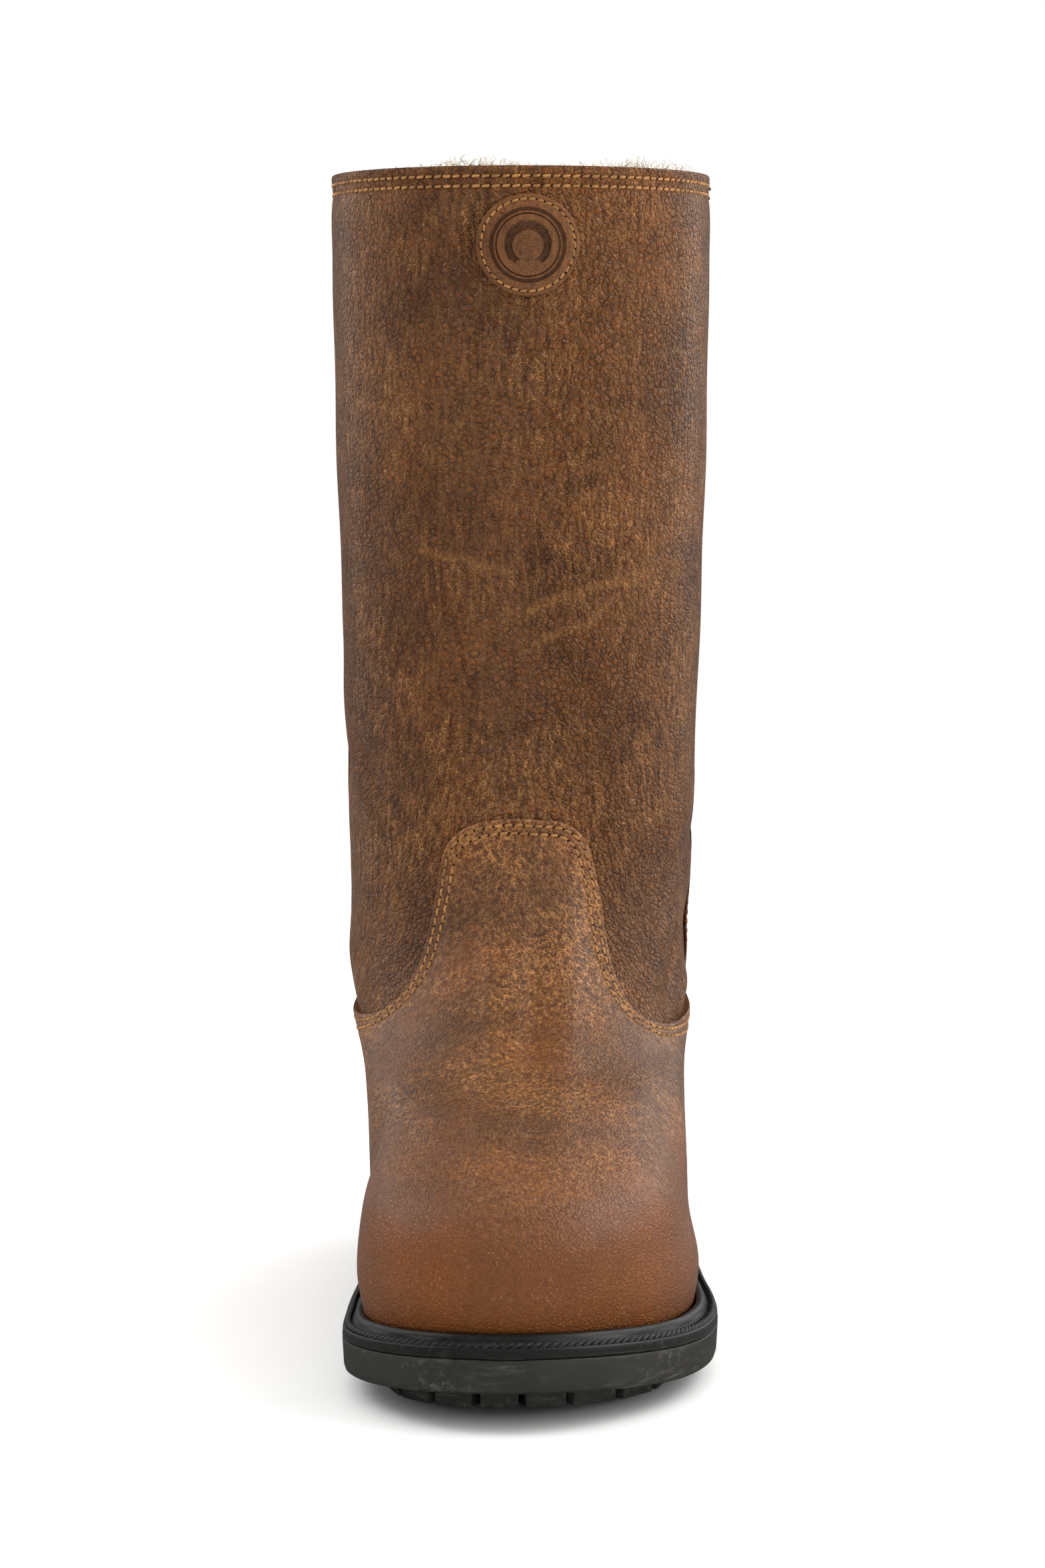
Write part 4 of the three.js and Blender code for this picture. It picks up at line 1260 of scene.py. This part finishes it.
def wool_curls():
    """Separate locks over the pile."""
    count = bpy.context.scene.boot_shearling.curls
    random = np.random.default_rng(21)
    sizes = [(1.15, 3.6, 0.95, 0.3), (0.8, 4.2, 0.7, 0.26), (1.5, 3.0, 0.8, 0.28)]
    templates = [curl_template(turns, h * MM, r * MM, t * MM) for turns, h, r, t in sizes]
    places = []
    for base, aim in curl_places(random, count):
        swing = Vector((0, 0, 1)).rotation_difference(Vector(aim)).to_matrix().to_4x4()
        spin = Matrix.Rotation(random.uniform(0, 2 * math.pi), 4, "Z")
        size = Matrix.Scale(random.uniform(0.75, 1.25), 4)
        stand = Matrix.Translation(Vector(base * MM)) @ swing @ spin @ size
        places.append((int(random.integers(0, 3)), stand))
    return placed_copies(templates, places)


def facing_point(u, v):
    """The leather strip inside the topline, down its inner face and up its outer one."""
    angle = TURN * u
    inside = v < 0.5
    level = np.where(inside, mix(TOP, TOP - 0.22, v / 0.5), mix(TOP - 0.22, TOP, (v - 0.5) / 0.5))
    return upper_point(angle, level, np.where(inside, -2.35, -1.95))


def footbed_point(u, v):
    """The loose footbed's pile: out along the top from the middle line, over the edge and back underneath."""
    angle = TURN * u
    top = v < 0.6
    reach = np.where(top, np.clip(v / 0.55, 0, 1), 1 - np.clip((v - 0.65) / 0.35, 0, 1))
    rim = footprint(angle, -12.6)
    spine = np.stack([np.full_like(u, 2.0), np.clip(rim[:, 1], -205, 8)], -1)
    flat = mix(spine, rim, reach[:, None])
    x, y = flat[:, 0], flat[:, 1]
    lumps = 0.6 * np.sin(x * 0.9 + 1) * np.sin(y * 0.8) + 0.4 * np.sin(x * 1.7 - y)
    height = np.where(top, 11.6 + lumps * reach - 10 * np.clip(reach - 0.9, 0, 1), 7.3)
    return np.stack([x, y, sole_top(y) + height], -1)


class BOOT_OT_lining(bpy.types.Operator):
    """Builds the shearling of the shaft and foot, its curls, the footbed and the facing"""

    bl_idname = "boot.lining"
    bl_label = "Lining"

    def execute(self, context):
        wool = shearling()
        shaft = closed_up(laid_grid(shaft_lining_point, 260, 150))
        finished("shaft_pile", shaft, wool, ["lining_shaft"], 180.0)
        finished("shaft_curls", wool_curls(), wool, [], 180.0)
        foot = closed_up(laid_grid(foot_lining_point, 200, 60))
        finished("foot_pile", foot, wool, ["lining_foot"], 180.0)
        bed = closed_up(laid_grid(footbed_point, 200, 60), 0.00002)
        finished("footbed_pile", bed, wool, ["footbed_fleece"], 180.0)
        facing = closed_up(laid_grid(facing_point, 180, 12))
        finished("topline_facing", facing, shaft_leather(), ["collar_facing"])
        return {"FINISHED"}


# ------------------------------------------------------------------ sole

UNDER = 5.3  # height of the sole plate over the ground under the ball
TREAD_HEIGHT = UNDER + 1.2  # the blocks reach a little into the plate


def sole_under(y):
    """Height of the sole plate's underside."""
    return UNDER + lift(y) + 1.7 * ease((y + 150) / 110)


# The welt's section as [outwards, up from the sole's top]: lip, groove, ridge, wall, underside and inside.
WELT_SECTION = np.array([
    [-2.2, 0.6], [-1.9, 1.6], [-1.5, 2.1], [-0.9, 2.3], [-0.2, 2.15], [0.4, 1.6], [0.9, 0.7], [1.4, -0.3],
    [1.9, -1.1], [2.4, -1.55], [3.0, -1.65], [3.4, -1.4], [3.8, -1.2], [4.15, -1.35], [4.4, -1.8],
    [4.5, -2.5], [4.5, -3.6], [4.5, -4.3], [3.0, -4.35], [-4.0, -4.35], [-6.0, -4.2], [-6.0, -1.0],
    [-4.6, -0.5], [-3.2, -0.3], [-2.4, 0.0],
])
# The plate's wall as share of the way round, outwards from the footprint, and up, where 10.6 is its top.
PLATE_WALL = np.array([
    [0, -9, 0], [0.1, 1.4, 0], [0.2, 2.9, 0.25], [0.3, 3.8, 0.9], [0.42, 4.2, 2.2], [0.8, 4.6, 9.6],
    [0.86, 4.5, 10.3], [0.92, 4.0, 10.6], [1, -3, 10.6],
])


def welt_point(u, v):
    """The welt: u runs round the sole and v round its section."""
    at = knots_at(WELT_SECTION, v * len(WELT_SECTION), closed=True)
    wobble = 0.12 * np.sin(np.radians(TURN * u) * 23) * (at[:, 1] > 0.5)
    flat = footprint(TURN * u, at[:, 0] + wobble)
    return np.stack([flat[:, 0], flat[:, 1], sole_top(flat[:, 1]) + at[:, 1]], -1)


def wall_point(u, v):
    """The outsole's wall: inwards under it, out, up and in again over the top."""
    grow, height = (np.interp(v, PLATE_WALL[:, 0], PLATE_WALL[:, k]) for k in (1, 2))
    flat = footprint(TURN * u, grow)
    low, high = sole_under(flat[:, 1]), sole_top(flat[:, 1]) - 4.5
    return np.stack([flat[:, 0], flat[:, 1], low + (high - low) * height / 10.6], -1)


def capped(shape):
    """Closes every open ring of a shape with faces."""
    bmesh.ops.remove_doubles(shape, verts=shape.verts, dist=0.00001)
    rims = [edge for edge in shape.edges if edge.is_boundary]
    filled = bmesh.ops.holes_fill(shape, edges=rims, sides=0)
    bmesh.ops.triangulate(shape, faces=filled["faces"])
    bmesh.ops.recalc_face_normals(shape, faces=shape.faces)
    return shape


def blocks(pieces, floor, bevel=0.5):
    """Tread blocks. Each is (plan, low, high): plan maps a square to the sole's plan, in millimetres."""
    whole = bmesh.new()
    for plan, low, high in pieces:
        block = bmesh.new()
        bmesh.ops.create_cube(block, size=1.0)
        for vert in block.verts:
            x, y = plan(vert.co.x + 0.5, vert.co.y + 0.5)
            base = float(floor(np.array(y)))
            vert.co = Vector((x, y, base + (high if vert.co.z > 0 else low))) * MM
        bmesh.ops.recalc_face_normals(block, faces=block.faces)
        bmesh.ops.bevel(
            block, geom=block.edges[:], offset=bevel * MM, segments=2, profile=0.5, affect="EDGES",
            material=-1,
        )
        mesh = template_mesh("tread_block", block)
        whole.from_mesh(mesh)
        bpy.data.meshes.remove(mesh)
    return whole


def ring_plan(start, end, outer, inner):
    """A block of the tread's ring between two angles and two insets."""

    def plan(s, t):
        point = footprint(np.array(mix(start, end, s)), np.array(mix(outer, inner, t)))
        return float(point[0]), float(point[1])

    return plan


def bar_plan(y, half, side):
    """A slanting bar across the middle of the tread, on one side."""

    def plan(s, t):
        return 1.5 + side * (0.8 + half * s), y - 5.5 * s + 7.0 * t

    return plan


def tread_pieces():
    """The front tread: a ring of blocks as far back as the waist, and slanting bars inside it."""
    pieces = []
    for angle in range(6, 366, 15):
        middle = footprint(np.array(angle + 7.5), np.array(0.0))
        if middle[1] < -118:
            pieces.append((ring_plan(angle + 1.2, angle + 13.8, -8.5, -22), 0.0, TREAD_HEIGHT))
    for y in range(-218, -124, 13):
        half = min(18.0, 8 + (y + 250) * 0.33)
        pieces += [(bar_plan(y, half, side), 0.0, TREAD_HEIGHT) for side in (-1, 1)]
    return pieces


def welt_line(pitch):
    """Points round the groove, with the outward direction at each."""
    angle = np.linspace(0, TURN, 2400)
    flat = footprint(angle, 2.9)
    points = np.stack([flat[:, 0], flat[:, 1], sole_top(flat[:, 1]) - 0.95], -1)
    outs = np.zeros_like(points)
    outs[:, :2] = footprint(angle, 4.0) - flat
    outs[:, 2] = 1.0
    return points, outs / np.linalg.norm(outs, axis=1, keepdims=True)


class BOOT_OT_sole(bpy.types.Operator):
    """Builds the outsole with its tread, the welt and the welt's stitching"""

    bl_idname = "boot.sole"
    bl_label = "Sole and welt"

    def execute(self, context):
        s = context.scene.boot_sole
        stitches = context.scene.boot_stitching
        rubber = kept("sole_rubber", lambda: make_rubber("sole_rubber", s))
        lip = kept("welt_rubber", lambda: make_rubber("welt_rubber", s, gloss=0.42, dusty=0.25, tint=0.35))
        plate = capped(laid_grid(wall_point, 300, 46))
        tread = template_mesh("tread", blocks(tread_pieces(), lift))
        plate.from_mesh(tread)
        finished("outsole_rubber", plate, rubber, ["outsole"], 38.0)
        rand = closed_up(laid_grid(welt_point, 420, 75))
        finished("welt_rand", rand, lip, ["welt"], 60.0)
        black = kept("welt_thread_black", lambda: make_thread("welt_thread_black", (0.02, 0.019, 0.018), 0.4))
        points, outs = welt_line(stitches.welt_pitch)
        frames, step = frames_along(points, outs, stitches.welt_pitch / MM)
        template = stitch_template(0.00062, step * 1.3 * MM)
        places = [(0, place_matrix(here, run, out, 0.45, 0.1)) for here, run, out in frames]
        row = placed_copies([template], places)
        finished("welt_stitches", row, black, ["welt_stitching"], 60.0)
        return {"FINISHED"}


HEEL_BREAST_Y = -36.0
HEEL_START, HEEL_END = 129.6, 230.6  # the angles at which the heel's side meets its breast
HEEL_GAP = 7.2  # height of the lift's underside; the cap ends just below it


def heel_wall(low, high, taper):
    """A heel layer cut straight across at the breast. Its top, high, is a number or a function of y."""
    stops = [0, 0.08, 0.16, 0.84, 0.92, 1]

    def place(u, v):
        grow = np.interp(v, stops, [0.4, 1.2, 1.6, 1.9, 1.5, 0.6]) - taper * (1 - v)
        rise = np.interp(v, stops, [0, 0.04, 0.12, 0.88, 0.96, 1])
        flat = footprint(mix(HEEL_START, HEEL_END, u), grow)
        top = high(flat[:, 1]) if callable(high) else np.full_like(u, high)
        return np.stack([flat[:, 0], np.maximum(flat[:, 1], HEEL_BREAST_Y), mix(low, top, rise)], -1)

    return place


class BOOT_OT_heel(bpy.types.Operator):
    """Builds the heel block and its tread"""

    bl_idname = "boot.heel"
    bl_label = "Heel"

    def execute(self, context):
        rubber = kept("sole_rubber", lambda: make_rubber("sole_rubber", context.scene.boot_sole))
        top = lambda y: sole_under(y) + 0.2
        block = capped(laid_grid(heel_wall(HEEL_GAP, top, 1.2), 160, 40))
        finished("heel_lift", block, rubber, ["heel_block"], 40.0)
        plate = capped(laid_grid(heel_wall(3.0, HEEL_GAP - 0.3, 0.3), 160, 16))
        pieces = [(ring_plan(start, start + 12, -2.5, -13), 0.0, 4.0) for start in range(132, 220, 14)]
        pieces.append((lambda s, t: (mix(-13, 13, s), mix(-33, 16, t)), 0.0, 4.0))
        tread = template_mesh("heel_tread_blocks", blocks(pieces, np.zeros_like))
        plate.from_mesh(tread)
        finished("heel_cap", plate, rubber, ["heel_tread"], 38.0)
        return {"FINISHED"}


def stiffener_point(u, v, start, end, low, rise):
    """A thin shell between the leather and the lining, highest in the middle of its run."""
    top = low + rise * np.sin(np.pi * u)
    return upper_point(mix(start, end, u), mix(0.4, top, v), -0.6)


# Stock of the hidden pieces: light and dark colour, grain scale and depth, roughness and metallic.
STOCK = {
    "cork_filler": ((0.42, 0.24, 0.10), (0.16, 0.08, 0.03), 700.0, 0.0004, 0.9),
    "shank_steel": ((0.56, 0.56, 0.57), (0.38, 0.38, 0.40), 900.0, 0.00002, 0.35, 1.0),
    "fibre_board": ((0.50, 0.36, 0.20), (0.34, 0.23, 0.12), 1200.0, 0.0001),
    "grey_felt": ((0.30, 0.29, 0.26), (0.16, 0.155, 0.14), 1500.0, 0.0003, 0.95),
    "puff_resin": ((0.62, 0.58, 0.48), (0.52, 0.47, 0.38), 500.0, 0.00005, 0.6),
    "counter_board": ((0.55, 0.46, 0.34), (0.4, 0.32, 0.22), 800.0, 0.0001),
}
STIFFENER_WALL = 1.1


class BOOT_OT_hidden(bpy.types.Operator):
    """Gives the pieces inside the sole their own materials and builds the two stiffeners"""

    bl_idname = "boot.hidden"
    bl_label = "Hidden pieces"

    def execute(self, context):
        made = [make_speckled(name, *kind) for name, kind in STOCK.items()]
        cork, steel, board, felt, resin, cup_board = made
        pieces = {"bottom_filler": cork, "shank": steel, "insole_board": board, "footbed_base": felt}
        for node, material in pieces.items():
            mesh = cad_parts[node].data
            mesh.materials.clear()
            mesh.materials.append(material)
        puff = laid_grid(lambda u, v: stiffener_point(u, v, -58, 58, 0.8, 2.1), 70, 30)
        walled("toe_puff_shell", puff, STIFFENER_WALL, resin, ["toe_puff"])
        cup = laid_grid(lambda u, v: stiffener_point(u, v, 122, 238, 1.2, 1.4), 60, 24)
        walled("heel_cup_shell", cup, STIFFENER_WALL, cup_board, ["heel_stiffener"])
        return {"FINISHED"}


# ------------------------------------------------------------------ stage


def add_light(name, place, aim, size, power, mirrored=True):
    """A soft rectangular light at a place, facing another."""
    data = bpy.data.lights.new(name, "AREA")
    data.shape = "RECTANGLE"
    data.size, data.size_y = size
    data.energy = power
    light = bpy.data.objects.new(name, data)
    light.location = place
    light.visible_glossy = mirrored
    light.rotation_euler = (Vector(aim) - Vector(place)).to_track_quat("-Z", "Y").to_euler()
    bpy.context.scene.collection.objects.link(light)


def add_floor(colour):
    """A pale floor, far wider than the boot: pure white far out, and darker in reflections than it looks."""
    shape = bmesh.new()
    bmesh.ops.create_grid(shape, x_segments=1, y_segments=1, size=60.0)
    mesh = template_mesh("floor", shape)
    material, graph, shader = new_material("floor_paper", Specular_IOR_Level=0.1)
    grain = graph.noise(graph.object_place(), 40.0, 3.0).outputs["Fac"]
    tone = graph.blend(graph.span(grain, 0.3, 0.7), rgba(colour, 0.995), rgba(colour))
    path = graph.node("LightPath").outputs
    reach = graph.node("VectorMath", {0: graph.object_place()}, operation="LENGTH").outputs["Value"]
    far = graph.maths("MULTIPLY", graph.span(reach, 0.5, 2.0), path["Is Camera Ray"])
    dimmed = graph.maths("MAXIMUM", graph.maths("MULTIPLY", path["Is Glossy Ray"], 0.85), far)
    tone = graph.blend(dimmed, tone, (0.0, 0.0, 0.0, 1.0))
    set_finish(graph, shader, tone, graph.span(grain, 0.3, 0.7, 0.9, 0.95))
    shader.inputs["Emission Strength"].default_value = 1.0
    glow = graph.blend(far, (0.0, 0.0, 0.0, 1.0), (1.0, 1.0, 1.0, 1.0))
    graph.tree.links.new(glow, shader.inputs["Emission Color"])
    mesh.materials.append(material)
    floor = bpy.data.objects.new("floor", mesh)
    bpy.context.scene.collection.objects.link(floor)


def add_camera(settings):
    """The camera faces the toe from a little below the topline's height."""
    data = bpy.data.cameras.new("camera")
    data.sensor_fit = "VERTICAL"
    data.sensor_height = 36.0
    data.lens = settings.lens
    camera = bpy.data.objects.new("camera", data)
    place, aim = Vector((0.0, -0.03 - settings.distance, 0.335)), Vector((0.0004, -0.06, 0.16))
    camera.location = place
    camera.rotation_euler = (aim - place).to_track_quat("-Z", "Y").to_euler()
    bpy.context.scene.collection.objects.link(camera)
    bpy.context.scene.camera = camera


IN_REFLECTIONS = 0.06  # strength of the surroundings as the leather mirrors them


def add_surroundings(strength):
    """White surroundings: seen as white, a little dimmer as light and almost dark in reflections."""
    world = bpy.data.worlds.new("studio")
    world.use_nodes = True
    world.node_tree.nodes.clear()
    graph = Graph(world.node_tree)
    path = graph.node("LightPath").outputs
    level = graph.node("MapRange", {"Value": path["Is Camera Ray"], "To Min": strength, "To Max": 1.0})
    shiny = graph.maths("MULTIPLY", path["Is Glossy Ray"], strength - IN_REFLECTIONS)
    level = graph.maths("SUBTRACT", level.outputs["Result"], shiny)
    back = graph.node("Background", {"Color": (1.0, 1.0, 1.0, 1.0), "Strength": level})
    graph.node("OutputWorld", {"Surface": back.outputs[0]})
    bpy.context.scene.world = world


# Name, place, aim, size, power, and whether it shows in reflections.
LIGHTS = (
    ("ceiling", (0, 26, 12), (0, 26, 0), (60, 60), 6500, False),
    ("right_key", (1.0, -0.5, 0.6), (0, -0.08, 0.2), (0.6, 0.9), 4),
    ("right_back", (1.05, 1.0, 0.75), (0, -0.15, 0.05), (1.2, 1.2), 7),
    ("left_back", (-1.05, 1.0, 0.75), (0, -0.15, 0.05), (1.2, 1.2), 4.5),
    ("left_high", (-0.9, -0.05, 0.95), (0, -0.15, 0.06), (0.5, 0.5), 3),
    ("right_high", (0.9, 0.0, 0.95), (0, -0.15, 0.06), (0.6, 0.6), 5),
    ("front_fill", (-0.2, -1.9, 1.4), (0, -0.08, 0.15), (1.2, 0.8), 2.5),
)


class BOOT_OT_stage(bpy.types.Operator):
    """Sets the floor, the lights and the camera"""

    bl_idname = "boot.stage"
    bl_label = "Stage"

    def execute(self, context):
        settings = context.scene.boot_stage
        context.scene.view_settings.view_transform = "Standard"
        add_floor(settings.floor)
        add_surroundings(0.8)
        for light in LIGHTS:
            add_light(*light)
        add_camera(settings)
        return {"FINISHED"}


# ------------------------------------------------------------------ add-on

STEPS = (
    BOOT_OT_shaft, BOOT_OT_foot, BOOT_OT_patch, BOOT_OT_stitching, BOOT_OT_lining, BOOT_OT_sole, BOOT_OT_heel,
    BOOT_OT_hidden, BOOT_OT_stage,
)
GROUPS = {
    "boot_leather": BootLeather,
    "boot_stitching": BootStitching,
    "boot_shearling": BootShearling,
    "boot_sole": BootSole,
    "boot_stage": BootStage,
}


class BOOT_PT_panel(bpy.types.Panel):
    """Lists the boot's settings and its building steps"""

    bl_idname = "BOOT_PT_panel"
    bl_label = "Riding boot"
    bl_space_type = "VIEW_3D"
    bl_region_type = "UI"
    bl_category = "Boot"

    def draw(self, context):
        for name in GROUPS:
            box = self.layout.box()
            settings = getattr(context.scene, name)
            for label in settings.bl_rna.properties.keys():
                if label not in {"rna_type", "name"}:
                    box.prop(settings, label)
        for step in STEPS:
            self.layout.operator(step.bl_idname)


def register():
    for name, group in GROUPS.items():
        bpy.utils.register_class(group)
        setattr(bpy.types.Scene, name, bpy.props.PointerProperty(type=group))
    for cls in (*STEPS, BOOT_PT_panel):
        bpy.utils.register_class(cls)


def unregister():
    for cls in (BOOT_PT_panel, *reversed(STEPS)):
        bpy.utils.unregister_class(cls)
    for name, group in GROUPS.items():
        delattr(bpy.types.Scene, name)
        bpy.utils.unregister_class(group)


def main():
    """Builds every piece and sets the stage."""
    register()
    for step in STEPS:
        name = step.bl_idname.split(".")[1]
        if getattr(bpy.ops.boot, name)() != {"FINISHED"}:
            raise RuntimeError("the step " + name + " did not finish")


if __name__ == "__main__":
    main()
